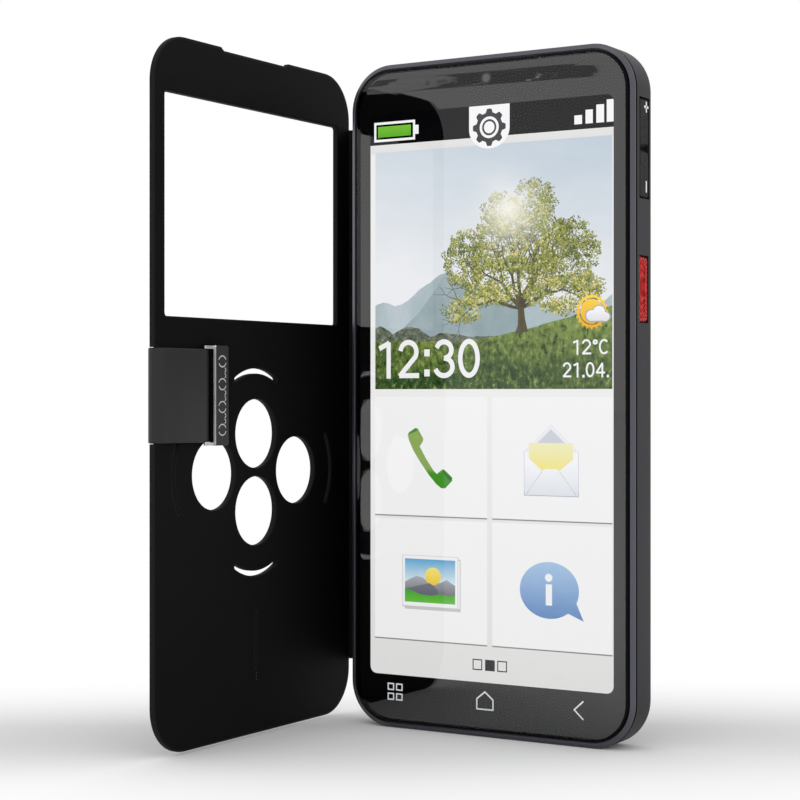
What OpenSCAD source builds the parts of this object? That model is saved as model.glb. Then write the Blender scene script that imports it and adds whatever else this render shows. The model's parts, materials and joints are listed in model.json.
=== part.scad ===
// Handheld digital assistant with a folding book cover, standing on its bottom end.
// X runs across the screen, -Y is the screen side, +Z is up; the origin is the
// centre of the bottom end.

/* [Handset] */
// overall width across the screen, mm
phone_w = 69.8; // [68:0.1:74]
// overall height, mm
phone_h = 148; // [146:0.5:156]
// thickness from the glass to the back, mm
phone_t = 10.2; // [10:0.1:11]
// radius of the four corners seen from the front, mm
corner_r = 10; // [8:0.5:12]
// radius of the rounded back edge, mm
edge_r = 1.8; // [1.2:0.1:2.0]
// wall of the removable back, mm
shell_wall = 1.1; // [1:0.05:1.2]

/* [Screen] */
// lit picture width, mm
screen_w = 60.3; // [58:0.1:61]
// lit picture height, mm
screen_h = 125.2; // [120:0.1:126]
// height of the picture's lower edge, mm
screen_z = 11.9; // [11.5:0.1:14]
// glass thickness, mm
glass_t = 1.0; // [0.9:0.05:1.1]
// margin from the outer edge to the glass, mm
glass_inset = 1.25; // [1.2:0.05:1.5]
// how far the glass stands in front of the band's outer edge, mm
glass_proud = 1.0; // [0.9:0.05:1.1]

/* [Keys] */
// lower end of the volume key's recess, mm
rocker_z = 115.3; // [113:0.1:118]
// length of the volume key's recess, mm
rocker_len = 21.2; // [18:0.1:24]
// lower end of the function key's recess, mm
side_key_z = 89.3; // [87:0.1:92]
// length of the function key's recess, mm
side_key_len = 14.1; // [12:0.1:16]

/* [Sockets] */
// headphone socket bore radius, mm
jack_r = 1.8; // [1.78:0.01:1.85]
// headphone socket depth, mm
jack_depth = 14; // [13:0.1:14.5]
// charging socket mouth width, mm
usb_w = 8.34; // [8.3:0.01:8.4]
// charging socket mouth height, mm
usb_h = 2.56; // [2.54:0.01:2.6]

/* [Cover] */
// cover width from the free edge to the spine edge, mm
cover_w = 72.6; // [70:0.05:74]
// cover height, mm
cover_h = 147.7; // [145:0.1:148]
// cover corner radius, mm
cover_r = 10; // [8:0.5:12]
// cover thickness, mm
cover_t = 1.3; // [1.2:0.05:1.5]
// left edge of the window from the free edge, mm
window_s = 3.55; // [2.5:0.05:5]
// window width, mm
window_w = 63.9; // [60:0.1:64]
// height of the window's lower edge, mm
window_z = 90.4; // [88:0.1:92]
// window height, mm
window_h = 45.9; // [40:0.1:46]
// diameter of the four touch holes, mm
hole_d = 15; // [12:0.1:15]
// height of the touch hole group, mm
pad_z = 57.4; // [55:0.1:60]
// sideways distance of the two outer holes from the group's centre, mm
pad_dx = 15.15; // [15:0.05:17]
// height distance of the two middle holes from the group's centre, mm
pad_dz = 8.42; // [8.4:0.02:9]
// width of each crescent slot at its middle, mm
crescent_t = 1.1; // [1:0.05:1.5]
// length of the narrow upright slot, mm
slot_len = 12.4; // [10:0.1:14]

/* [Spine and strap] */
// lower end of the spine band, mm
spine_z = 12.3; // [11:0.1:14]
// height of the spine band, mm
spine_h = 124.1; // [120:0.1:126]
// reach of the spine band from its crease to the cover, mm
spine_reach = 11.55; // [11.5:0.05:12.5]
// strap width, mm
strap_w = 19.5; // [16:0.1:22]
// height of the strap's centre line, mm
strap_z = 74.1; // [72:0.1:76]
// length of the folded strap from its crease, mm
strap_len = 20.3; // [16:0.1:24]

/* [Hidden] */
$fn = 64;
leaf = 0.02;
half_w = phone_w / 2;
mid_z = phone_h / 2;
y_front = -phone_t / 2;
y_back = phone_t / 2;
y_edge = y_front + glass_proud;
y_glass = y_front + glass_t;
band_rise = 0.53;
band_w = 0.9;
band_t = 0.4;
seam = 0.2;
y_seam = y_edge + band_t;
y_shell = y_seam + seam;
y_floor = y_back - shell_wall;
inner_w = phone_w - 2 * shell_wall;
inner_h = phone_h - 2 * shell_wall;
inner_r = corner_r - shell_wall;
glass_w = phone_w - 2 * glass_inset;
glass_h = phone_h - 2 * glass_inset;
glass_r = corner_r - glass_inset;
glass_edge = 1.7;
ear_w = 25;
ear_d = 0.8;
screen_mid = screen_z + screen_h / 2;
panel_w = screen_w + 2;
panel_h = screen_h + 5.2;
panel_mid = screen_mid - 1.1;
panel_t = 0.9;
light_t = 1.1;
y_panel = y_glass + panel_t;
y_light = y_panel + light_t;
plate_t = 0.8;
y_plate = y_light + plate_t;
ledge_w = phone_w - 3.2;
ledge_h = phone_h - 3.2;
ledge_r = corner_r - 1.6;
house_w = inner_w - 0.6;
house_h = inner_h - 0.6;
house_r = inner_r - 0.3;
y_house = 3.4;
deck_t = 0.9;
room_w = 62.4;
block = 5;
top_z0 = 97.5;
top_z1 = 143.4;
low_z0 = 4.6;
low_z1 = 25;
cell_w = 60.4;
cell_z0 = 27.6;
cell_z1 = 95;
y_cell0 = -0.9;
y_cell1 = 3.6;
board_t = 0.8;
y_board = 0;
y_sub = -1.0;
sub_t = 0.6;
jack_x = -19;
jack_y = 0.9;
jack_w = 6.4;
jack_body = 4.6;
jack_top = phone_h - shell_wall - 0.05;
usb_y = 0.85;
usb_shell = 0.3;
usb_z = 0.9;
usb_len = 7.4;
cam_z = 128;
cam_w = 8.6;
cam_r = 5.6;
cam_glass_r = 4.4;
flash_x = 12.5;
flash_r = 2.1;
spk_x = -17;
spk_w = 18;
spk_z = 15;
spk_h = 12;
front_cam_x = -0.4;
front_cam_z = 143;
front_cam_r = 1.6;
ear_x = 12;
sensor_x = -12;
mic_x = 13;
mic_r = 0.5;
key_y0 = -2.1;
rocker_d = 5.1;
side_key_d = 4.6;
key_gap = 0.25;
rocker_mid = rocker_z + rocker_len / 2;
side_key_mid = side_key_z + side_key_len / 2;
key_face = half_w - 0.05;
lip_x1 = half_w - shell_wall - 0.3;
lip_t = 0.5;
lip_x0 = lip_x1 - lip_t;
rail_x = 31.9;
dome_t = 0.35;
screw_x = 28.9;
screw_low = 7;
screw_top = 141;
screw_r = 0.7;
head_r = 1.3;
fold_x = -33.3;
fold_y = y_back + 0.4;
tape_t = 0.6;
tape_x0 = fold_x + 0.2;
tape_w = 12;
spine_t = 1.0;
skin_t = 0.6;
bend_r = 4.3;
bend_x = fold_x - bend_r;
bend_y = fold_y - 0.5;
bend_start = 4;
spine_y0 = bend_y + bend_r;
cover_x = fold_x - spine_reach;
spine_y = spine_y0 + spine_t / 2;
cover_y1 = spine_y - 0.8;
cover_y0 = cover_y1 - cover_w;
cover_z = 0.5;
bead_r = 0.5;
cover_in = cover_x + cover_t / 2;
cover_out = cover_x - cover_t / 2;
rim = 0.8;
board_x0 = cover_out + 0.5;
board_x1 = cover_in - 0.4;
pad_s = 35.3;
crescent_r = 15.5;
crescent_a = 29.8;
crescent_end = 0.7;
crescent_x = 29.05;
crescent_zoff = 22.05;
slot_w = 0.9;
slot_z = 14.7;
notch_w = 24;
notch_d = 0.7;
strap_in = cover_t / 2 + 0.4;
strap_mid = strap_in + 0.4;
strap_out = strap_in + 0.9;
strap_inset = strap_out - cover_t / 2;
strap_y = cover_y0 + strap_out;
strap_gap = 0.4;
strap_end_a = 96;
root_end_a = 230;
strap_z0 = strap_z - strap_w / 2;
root_len = 24.4;
clip_h = strap_w + 1.5;
clip_len = 7.6;
clip_t = 0.35;

// corner arcs of a rounded rectangle centred on the origin
function rounded(w, h, r, n = 8) = [
  for (q = [0:3], i = [0:n])
    let (sx = (q == 0 || q == 3) ? 1 : -1, sy = (q < 2) ? 1 : -1, a = 90 * q + 90 * i / n)
      [sx * (w / 2 - r) + r * cos(a), sy * (h / 2 - r) + r * sin(a)]
];

// arc points about a centre
function arc(cx, cy, r, a0, a1, n) = [
  for (i = [0:n]) let (a = a0 + (a1 - a0) * i / n) [cx + r * cos(a), cy + r * sin(a)]
];

// crescent outline: widest at the middle, narrow at both ends, bulging towards +X
function crescent(r, a, t, e, n = 10) = concat(
  [for (i = [-n:n]) let (k = i / n, w = t + (e - t) * k * k)
    [(r + w / 2) * cos(a * k) - r, (r + w / 2) * sin(a * k)]],
  [for (i = [-n:n]) let (k = -i / n, w = t + (e - t) * k * k)
    [(r - w / 2) * cos(a * k) - r, (r - w / 2) * sin(a * k)]]
);

// slab seen from the front, from depth y0 to y1
module slab(w, h, r, y0, y1, x = 0, z = mid_z) {
  translate([x, y1, z])
    rotate([90, 0, 0])
      linear_extrude(y1 - y0)
        polygon(rounded(w, h, r));
}

// block by its limits
module block_of(x0, x1, y0, y1, z0, z1) {
  translate([x0, y0, z0])
    cube([x1 - x0, y1 - y0, z1 - z0]);
}

// round bar along Y
module rod_y(r, y0, y1, x, z) {
  translate([x, y1, z])
    rotate([90, 0, 0])
      cylinder(h = y1 - y0, r = r);
}

// room between the four screw blocks of a housing end
module room(w, y0, y1, z0, z1, c) {
  block_of(-w / 2 + c, w / 2 - c, y0, y1, z0, z1);
  block_of(-w / 2, w / 2, y0, y1, z0 + c + 0.6, z1 - c - 0.6);
}

// the touch holes, crescents, window, slot, top notch and strap recess as one flat outline
module cover_cuts() {
  translate([window_s + window_w / 2, window_z - cover_z + window_h / 2])
    polygon(rounded(window_w, window_h, 0.6, 4));
  for (k = [-1, 1]) {
    translate([pad_s + k * pad_dx, pad_z - cover_z])
      circle(d = hole_d);
    translate([pad_s, pad_z - cover_z + k * pad_dz])
      circle(d = hole_d);
    translate([pad_s + k * crescent_x, pad_z - cover_z])
      rotate(k > 0 ? 0 : 180)
        polygon(crescent(crescent_r, crescent_a, crescent_t, crescent_end));
    translate([pad_s, pad_z - cover_z + k * crescent_zoff])
      rotate(90 * k)
        polygon(crescent(crescent_r, crescent_a, crescent_t, crescent_end));
  }
  translate([pad_s - slot_w / 2, slot_z - cover_z])
    square([slot_w, slot_len]);
  translate([pad_s - notch_w / 2, cover_h - notch_d])
    square([notch_w, notch_d + 1]);
  translate([-1, strap_z - cover_z - strap_w / 2 - strap_gap])
    square([strap_inset + 1, strap_w + 2 * strap_gap]);
}

// cover layer drawn from the free edge, between two depths along X
module cover_layer(x0, x1, inset) {
  translate([x0, cover_y0, cover_z])
    rotate([90, 0, 90])
      linear_extrude(x1 - x0)
        difference() {
          translate([cover_w / 2, cover_h / 2])
            polygon(rounded(cover_w - 2 * inset, cover_h - 2 * inset, cover_r - inset));
          cover_cuts();
        }
}

// mouth of the charging socket, as a slot along the given height
module usb_slot(grow, z0, z1) {
  translate([0, usb_y, z0])
    linear_extrude(z1 - z0)
      polygon(rounded(usb_w + 2 * grow, usb_h + 2 * grow, usb_h / 2 + grow - 0.02));
}

// upright strip of the spine between two depths of its bend
module spine_band(t0, t1) {
  r0 = bend_r + t0;
  r1 = bend_r + t1;
  end_x = cover_x + 0.2;
  translate([0, 0, spine_z])
    linear_extrude(spine_h)
      polygon(concat(
        arc(bend_x, bend_y, r0, bend_start, 90, 8),
        [[end_x, bend_y + r0], [end_x, bend_y + r1]],
        arc(bend_x, bend_y, r1, 90, bend_start, 8)));
}

module cover_glass() {
  color("#15161a")
    difference() {
      hull() {
        slab(glass_w, glass_h, glass_r, y_glass - 0.35, y_glass);
        slab(glass_w - 0.3, glass_h - 0.3, glass_r - 0.15, y_front + 0.3, y_glass - 0.3);
        slab(glass_w - 1.3, glass_h - 1.3, glass_r - 0.65, y_front + 0.09, y_front + 0.12);
        slab(glass_w - 2 * glass_edge, glass_h - 2 * glass_edge, glass_r - glass_edge,
          y_front, y_front + leaf);
      }
      block_of(-ear_w / 2, ear_w / 2, y_front - 1, y_glass + 1,
        mid_z + glass_h / 2 - ear_d, phone_h);
    }
}

module display_panel() {
  color("#2b6fb0")
    slab(panel_w, panel_h, 1.2, y_glass, y_panel, 0, panel_mid);
}

module backlight_unit() {
  color("#e8e8ec")
    slab(panel_w, panel_h, 1.2, y_panel, y_light, 0, panel_mid);
}

module front_band() {
  color("#5a5a63")
    difference() {
      union() {
        hull() {
          slab(phone_w, phone_h, corner_r, y_edge, y_seam);
          slab(phone_w - 2 * band_w, phone_h - 2 * band_w, corner_r - band_w,
            y_edge - band_rise, y_edge);
        }
        slab(inner_w - 0.1, inner_h - 0.1, inner_r, y_seam - leaf, y_seam + 1.1);
      }
      slab(glass_w + 0.4, glass_h + 0.4, glass_r + 0.2, y_front - 1, y_glass + leaf);
      slab(ledge_w + 0.1, ledge_h + 0.1, ledge_r, y_glass, y_shell + 2);
    }
}

module mid_frame() {
  color("#8b8d92")
    difference() {
      slab(ledge_w, ledge_h, ledge_r, y_glass, y_plate);
      slab(panel_w + 0.4, panel_h + 0.4, 1.4, y_glass - 1, y_light, 0, panel_mid);
      block_of(ear_x - 6.3, ear_x + 6.3, y_glass - 1, y_plate + 1, 140.4, 144.8);
      block_of(front_cam_x - 2.7, front_cam_x + 2.7, y_glass - 1, y_plate + 1,
        front_cam_z - 2.6, front_cam_z + 2.2);
      block_of(sensor_x - 4, sensor_x + 4, y_glass - 1, y_plate + 1, 141.4, 144.9);
      block_of(-8, 8, y_light - 1, y_plate + 1, 9, 11);
      block_of(rail_x, half_w, y_light - 0.1, y_plate + 1, 87, 139);
    }
}

module rear_housing() {
  color("#3a3b40")
    difference() {
      slab(house_w, house_h, house_r, y_plate, y_house);
      room(room_w, y_plate - 1, y_house - deck_t, top_z0, top_z1, block);
      room(room_w, y_plate - 1, y_house - deck_t, low_z0, low_z1, block);
      block_of(-cell_w / 2 - 0.4, cell_w / 2 + 0.4, y_plate - 1, y_house + 1,
        cell_z0 - 0.4, cell_z1 + 0.4);
      block_of(-5, 5, y_plate - 1, y_plate + 0.3, low_z0, top_z1);
      block_of(13, 25, y_plate - 1, y_house - deck_t, cell_z1, top_z0 + 1);
      block_of(-26, -7.2, y_house - deck_t - 1, y_house + 1, 98, 112.5);
      slab(cam_w + 0.4, cam_w + 0.4, 0.6, y_plate, y_house + 1, 0, cam_z);
      rod_y(flash_r + 0.3, y_plate, y_house + 1, flash_x, cam_z);
      block_of(jack_x - jack_w / 2 - 0.2, jack_x + jack_w / 2 + 0.2, y_plate - 1,
        jack_y + jack_body / 2 + 0.2, jack_top - jack_depth - 1, phone_h);
      block_of(-usb_w / 2 - 0.6, usb_w / 2 + 0.6, y_plate - 1, usb_y + usb_h / 2 + 0.6,
        0, low_z0 + 1);
      block_of(mic_x - 1.8, mic_x + 1.8, y_plate - 1, y_sub + 1.6, 0, low_z0 + 1);
      block_of(spk_x - spk_w / 2 + 2, spk_x + spk_w / 2 - 2, y_plate, y_house + 1,
        spk_z - 4, spk_z + 4);
      block_of(rail_x, half_w, y_plate - 1, key_y0 + rocker_d + 0.35,
        rocker_z - 1.6, rocker_z + rocker_len + 1.6);
      block_of(rail_x, half_w, y_plate - 1, key_y0 + side_key_d + 0.85,
        side_key_z - 1.6, side_key_z + side_key_len + 1.6);
      block_of(rail_x, rail_x + 0.2, y_plate - 1, y_plate + 2.4, side_key_z, rocker_z);
      for (x = [-screw_x, screw_x], z = [screw_low, screw_top]) {
        rod_y(screw_r, y_plate - 1, y_house + 1, x, z);
        rod_y(head_r + 0.1, y_house - 0.7, y_house + 1, x, z);
      }
    }
}

module back_shell() {
  c30 = edge_r * (1 - cos(30));
  c60 = edge_r * (1 - cos(60));
  s30 = edge_r * sin(30);
  s60 = edge_r * sin(60);
  y_bend = y_back - edge_r;
  inner_bend = edge_r - shell_wall;
  color("#4a4a50")
    difference() {
      hull() {
        slab(phone_w, phone_h, corner_r, y_shell, y_bend);
        slab(phone_w - 2 * c30, phone_h - 2 * c30, corner_r - c30, y_bend, y_bend + s30);
        slab(phone_w - 2 * c60, phone_h - 2 * c60, corner_r - c60, y_bend, y_bend + s60);
        slab(phone_w - 2 * edge_r, phone_h - 2 * edge_r, corner_r - edge_r, y_bend, y_back);
      }
      hull() {
        slab(inner_w, inner_h, inner_r, y_shell - 1, y_floor - inner_bend);
        slab(inner_w - 2 * inner_bend, inner_h - 2 * inner_bend, inner_r - inner_bend,
          y_shell, y_floor);
      }
      block_of(0, phone_w, key_y0, key_y0 + rocker_d, rocker_z, rocker_z + rocker_len);
      block_of(0, phone_w, key_y0, key_y0 + side_key_d, side_key_z, side_key_z + side_key_len);
      block_of(tape_x0, fold_x + tape_w, y_back - tape_t, y_back + 1,
        spine_z, spine_z + spine_h);
      rod_y(cam_r, y_floor - 1, y_back + 1, 0, cam_z);
      rod_y(flash_r, y_floor - 1, y_back + 1, flash_x, cam_z);
      translate([jack_x, jack_y, phone_h - 5])
        cylinder(h = 10, r = 2.6);
      usb_slot(0.55, -1, 3);
      translate([mic_x, y_sub + 0.9, -1])
        cylinder(h = 4, r = mic_r);
      for (i = [-3:3])
        block_of(spk_x + i * 2 - 0.45, spk_x + i * 2 + 0.45, y_floor - 1, y_back + 1,
          spk_z - 3.2, spk_z + 3.2);
    }
}

module battery() {
  color("#2f3136")
    slab(cell_w, cell_z1 - cell_z0, 1.5, y_cell0, y_cell1, 0, (cell_z0 + cell_z1) / 2);
}

module main_board() {
  color("#1d5a3a")
    difference() {
      room(room_w - 0.6, y_board, y_board + board_t, top_z0 + 0.4, top_z1 - 0.4, block);
      slab(cam_w + 0.4, cam_w + 0.4, 0.3, y_board - 1, y_board + 2, 0, cam_z);
      block_of(jack_x - jack_w / 2 - 0.2, jack_x + jack_w / 2 + 0.2, y_board - 1,
        y_board + 2, jack_top - jack_depth - 1, phone_h);
      block_of(front_cam_x - 2.7, front_cam_x + 2.7, y_board - 1, y_board + 2,
        front_cam_z - 2.8, phone_h);
    }
}

module shield_cans() {
  color("#b9bcc0") {
    block_of(-28, -8, y_board - 0.95, y_board, 104, 124);
    block_of(7, 28, y_board - 0.95, y_board, 104, 124);
    block_of(-6, 10, y_board + board_t, y_board + board_t + 1.3, 101, 118);
    block_of(17, 29, y_board + board_t, y_board + board_t + 1.3, 106, 132);
  }
}

module sub_board() {
  color("#1d5a3a")
    difference() {
      room(room_w - 0.6, y_sub, y_sub + sub_t, low_z0 + 0.3, low_z1 - 0.4, block);
      block_of(-usb_w / 2 - 0.5, usb_w / 2 + 0.5, usb_y - usb_h / 2 - usb_shell - 0.05,
        y_sub + 1, 0, usb_z + usb_len + 0.1);
    }
}

module board_flex() {
  color("#b06a24")
    block_of(-4, 4, y_plate + 0.02, y_plate + 0.16, low_z0 + 6, top_z0 + 14);
}

module side_key_flex() {
  color("#b06a24")
    block_of(rail_x + 0.02, rail_x + 0.16, y_plate + 0.4, y_plate + 2.2,
      side_key_z, rocker_z + rocker_len);
}

module dome_switches() {
  color("#d0d2d6")
    for (z = [side_key_mid, rocker_mid - 7, rocker_mid + 7])
      translate([rail_x + 0.16, y_plate + 1.3, z])
        rotate([0, 90, 0])
          cylinder(h = dome_t, r = 0.85);
}

module earpiece_speaker() {
  color("#2a2a2c")
    slab(12, 4, 0.8, y_glass + 0.02, y_plate, ear_x, 142.6);
}

module earpiece_mesh() {
  z_top = mid_z + glass_h / 2;
  color("#0c0c0e")
    difference() {
      block_of(-ear_w / 2 + 0.05, ear_w / 2 - 0.05, y_glass - 0.55, y_glass,
        z_top - ear_d + 0.05, z_top - 0.05);
      for (i = [-14:14])
        block_of(i * 0.8 - 0.15, i * 0.8 + 0.15, y_glass - 1, y_glass - 0.2,
          z_top - ear_d + 0.2, z_top - 0.2);
    }
}

module front_camera() {
  color("#101114") {
    slab(5, 4.4, 0.4, y_glass + 0.5, y_plate, front_cam_x, front_cam_z - 0.2);
    rod_y(front_cam_r, y_glass + 0.02, y_glass + 0.5, front_cam_x, front_cam_z);
  }
}

module proximity_sensor() {
  color("#222228")
    slab(7.4, 2.8, 0.3, y_glass + 0.05, y_plate, sensor_x, 143.1);
}

module rear_camera() {
  color("#17181b") {
    slab(cam_w, cam_w, 0.5, y_plate + 0.2, y_house - 0.2, 0, cam_z);
    rod_y(3.2, y_house - 0.2, y_floor + 0.1, 0, cam_z);
  }
}

module rear_camera_ring() {
  color("#9a9ca1")
    difference() {
      rod_y(cam_r - 0.05, y_floor + 0.1, y_back - 0.05, 0, cam_z);
      rod_y(cam_glass_r, y_floor + 0.5, y_back + 1, 0, cam_z);
      rod_y(3.4, y_floor - 1, y_back + 1, 0, cam_z);
    }
}

module rear_camera_window() {
  color("#0d0e12")
    rod_y(cam_glass_r - 0.05, y_floor + 0.5, y_back - 0.25, 0, cam_z);
}

module flash_lens() {
  color("#f2efe0")
    rod_y(flash_r - 0.05, y_house - 0.6, y_back - 0.1, flash_x, cam_z);
}

module loudspeaker() {
  color("#1b1b1e")
    difference() {
      slab(spk_w, spk_h, 1, y_sub + sub_t + 0.05, y_house - deck_t - 0.1, spk_x, spk_z);
      slab(spk_w - 4, spk_h - 4, 1, y_house - deck_t - 0.5, y_house, spk_x, spk_z);
    }
}

module vibration_motor() {
  color("#c3c5ca")
    rod_y(4, y_sub + sub_t + 0.05, y_house - deck_t - 0.1, 18, 15);
}

module usb_c_port() {
  color("#b7b9be") {
    difference() {
      usb_slot(usb_shell, usb_z, usb_z + usb_len);
      usb_slot(0, usb_z - 1, usb_z + usb_len - 0.9);
    }
    block_of(-3.3, 3.3, usb_y - 0.35, usb_y + 0.35, usb_z + 0.8, usb_z + usb_len - 0.5);
  }
}

module headphone_jack() {
  color("#26272b")
    difference() {
      block_of(jack_x - jack_w / 2, jack_x + jack_w / 2, jack_y - jack_body / 2 + 0.2,
        jack_y + jack_body / 2, jack_top - jack_depth - 0.8, jack_top - 1.3);
      translate([jack_x, jack_y, jack_top - jack_depth])
        cylinder(h = jack_depth + 1, r = jack_r);
    }
}

module battery_connector() {
  color("#c9a14a")
    for (x = [14.5, 17.5, 20.5])
      block_of(x, x + 1.6, y_board + board_t, y_board + board_t + 1.2,
        cell_z1 + 0.1, top_z0 + 2.4);
}

module card_reader() {
  color("#aeb1b6")
    difference() {
      block_of(-25.6, -7.6, y_board + board_t, y_house - 0.2, 98.6, 112);
      block_of(-24.2, -9, y_board + board_t + 0.5, y_board + board_t + 1.4, 96, 110.6);
    }
}

module microphone() {
  color("#c8c9cc")
    block_of(mic_x - 1.4, mic_x + 1.4, y_sub + sub_t, y_sub + sub_t + 0.9,
      low_z0 + 0.4, low_z0 + 3.4);
}

module housing_screws() {
  color("#c2c4c8")
    for (x = [-screw_x, screw_x], z = [screw_low, screw_top]) {
      rod_y(screw_r - 0.05, y_plate + 0.02, y_house - 0.7, x, z);
      rod_y(head_r, y_house - 0.7, y_house - 0.05, x, z);
    }
}

module latch_plate() {
  color("#85878c")
    block_of(14, 28, y_cell1 + 0.08, y_floor - 0.02, strap_z - 8, strap_z + 8);
}

module volume_key() {
  y0 = key_y0 + key_gap;
  y1 = key_y0 + rocker_d - key_gap;
  color("#55555c")
    difference() {
      union() {
        block_of(lip_x0, key_face, y0, y1,
          rocker_z + 0.3, rocker_z + rocker_len - 0.3);
        block_of(lip_x0, lip_x1 - 0.1, y_plate + 0.5, y1 + 0.4,
          rocker_mid - 4, rocker_mid + 4);
      }
      for (k = [-1, 1])
        translate([key_face, 0, rocker_mid])
          rotate([0, 45, 0])
            cube([1.1, phone_t, 1.1], center = true);
    }
}

module side_key() {
  y0 = key_y0 + key_gap;
  y1 = key_y0 + side_key_d - key_gap;
  color("#cc2f33") {
    block_of(lip_x1 - 0.01, key_face + 0.15, y0, y1,
      side_key_z + key_gap, side_key_z + side_key_len - key_gap);
    block_of(lip_x0, lip_x1, y0, y1 + 0.5,
      side_key_z - 0.6, side_key_z + side_key_len + 0.6);
  }
}

module spine_tape() {
  color("#1c1c1f")
    block_of(tape_x0, fold_x + tape_w - 0.05, y_back - tape_t, y_back,
      spine_z + 0.05, spine_z + spine_h - 0.05);
}

module spine_skin() {
  color("#1a1a1d") {
    spine_band(spine_t - skin_t, spine_t);
    translate([cover_x, spine_y, spine_z])
      cylinder(h = spine_h, r = bead_r);
  }
}

module spine_lining() {
  color("#26262a")
    difference() {
      spine_band(0, spine_t - skin_t);
      translate([cover_x, spine_y, spine_z - 1])
        cylinder(h = spine_h + 2, r = bead_r + 0.01);
    }
}

module cover_skin() {
  color("#1b1b1e")
    difference() {
      cover_layer(cover_out, cover_in - 0.05, 0);
      translate([board_x0, cover_y0, cover_z])
        rotate([90, 0, 90])
          linear_extrude(cover_t)
            translate([cover_w / 2, cover_h / 2])
              polygon(rounded(cover_w - 2 * rim, cover_h - 2 * rim, cover_r - rim));
    }
}

module cover_board() {
  color("#6b675f")
    cover_layer(board_x0, board_x1, rim + 0.05);
}

module cover_lining() {
  color("#222226")
    cover_layer(board_x1, cover_in, rim + 0.05);
}

module strap_root() {
  color("#3c3c40")
    translate([cover_x, strap_y, strap_z0])
      linear_extrude(strap_w)
        polygon(concat(
          arc(0, 0, strap_mid + 0.1, root_end_a, 180, 6),
          [[-strap_mid - 0.1, 1.2], [-cover_t / 2, 1.2], [-cover_t / 2, root_len],
           [-strap_out, root_len]],
          arc(0, 0, strap_out, 180, root_end_a, 6)));
}

module strap_flap() {
  color("#3c3c40")
    translate([cover_x, strap_y, strap_z0])
      linear_extrude(strap_w)
        polygon(concat(
          arc(0, 0, strap_in, -strap_end_a, 0, 8),
          [[strap_in, strap_len], [strap_out, strap_len], [strap_out, 0]],
          arc(0, 0, strap_mid, 0, -strap_end_a, 8)));
}

module strap_magnet() {
  color("#8a8c90")
    block_of(cover_x + strap_out, cover_x + strap_out + 0.6,
      strap_y + strap_len - clip_len + 1, strap_y + strap_len - 1,
      strap_z - 7, strap_z + 7);
}

module strap_clip() {
  x0 = cover_x + strap_out;
  y1 = strap_y + strap_len + clip_t;
  color("#b5b6ba")
    difference() {
      block_of(cover_x + strap_in, x0 + 1, y1 - clip_len, y1,
        strap_z - clip_h / 2, strap_z + clip_h / 2);
      block_of(cover_x + strap_in - 1, x0 + 0.62, y1 - clip_len - 1, y1 - clip_t,
        strap_z - strap_w / 2 - 0.05, strap_z + strap_w / 2 + 0.05);
    }
}

cover_glass();
display_panel();
backlight_unit();
front_band();
mid_frame();
rear_housing();
back_shell();
battery();
main_board();
shield_cans();
sub_board();
board_flex();
side_key_flex();
dome_switches();
earpiece_speaker();
earpiece_mesh();
front_camera();
proximity_sensor();
rear_camera();
rear_camera_ring();
rear_camera_window();
flash_lens();
loudspeaker();
vibration_motor();
usb_c_port();
headphone_jack();
battery_connector();
card_reader();
microphone();
housing_screws();
latch_plate();
volume_key();
side_key();
spine_tape();
spine_skin();
spine_lining();
cover_skin();
cover_board();
cover_lining();
strap_root();
strap_flap();
strap_magnet();
strap_clip();
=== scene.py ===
import json
import random
from math import cos, exp, hypot, pi, radians, sin, sqrt
import bpy
import bmesh
from mathutils import Matrix, Vector
from mathutils.geometry import tessellate_polygon


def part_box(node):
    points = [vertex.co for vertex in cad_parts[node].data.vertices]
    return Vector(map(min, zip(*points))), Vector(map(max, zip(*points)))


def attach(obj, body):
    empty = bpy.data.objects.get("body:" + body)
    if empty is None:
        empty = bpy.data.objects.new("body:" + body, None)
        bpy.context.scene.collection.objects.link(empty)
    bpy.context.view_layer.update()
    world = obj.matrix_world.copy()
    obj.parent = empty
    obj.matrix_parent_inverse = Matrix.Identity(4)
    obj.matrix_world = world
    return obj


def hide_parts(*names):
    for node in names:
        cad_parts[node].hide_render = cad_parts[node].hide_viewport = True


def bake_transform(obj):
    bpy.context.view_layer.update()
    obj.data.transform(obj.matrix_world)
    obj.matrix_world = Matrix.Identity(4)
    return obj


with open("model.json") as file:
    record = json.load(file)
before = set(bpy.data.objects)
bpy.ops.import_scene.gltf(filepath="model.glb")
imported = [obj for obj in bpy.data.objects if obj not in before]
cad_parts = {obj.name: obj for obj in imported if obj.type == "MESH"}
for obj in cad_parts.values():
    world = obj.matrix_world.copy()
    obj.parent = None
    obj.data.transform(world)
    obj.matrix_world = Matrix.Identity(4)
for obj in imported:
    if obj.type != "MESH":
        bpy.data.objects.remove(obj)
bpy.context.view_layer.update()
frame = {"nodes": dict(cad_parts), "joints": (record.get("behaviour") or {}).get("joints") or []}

MM = 0.001
NODES = frame["nodes"]


def span(node):
    """Lowest and highest corner of a CAD node, in millimetres."""
    lo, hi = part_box(node)
    return [c / MM for c in lo], [c / MM for c in hi]


SHELL_LO, SHELL_HI = span("back_shell")
GLASS_LO, GLASS_HI = span("cover_glass")
BAND_LO, BAND_HI = span("front_band")
SKIN_LO, SKIN_HI = span("cover_skin")
LINE_HI = span("cover_lining")[1]
FLAP_LO, FLAP_HI = span("strap_flap")
ROOT_HI = span("strap_root")[1]
CLIP_LO, CLIP_HI = span("strap_clip")
SPINE_LO, SPINE_HI = span("spine_skin")
VOL_LO, VOL_HI = span("volume_key")
KEY_LO, KEY_HI = span("side_key")
TAPE_LO, TAPE_HI = span("spine_tape")

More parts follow.
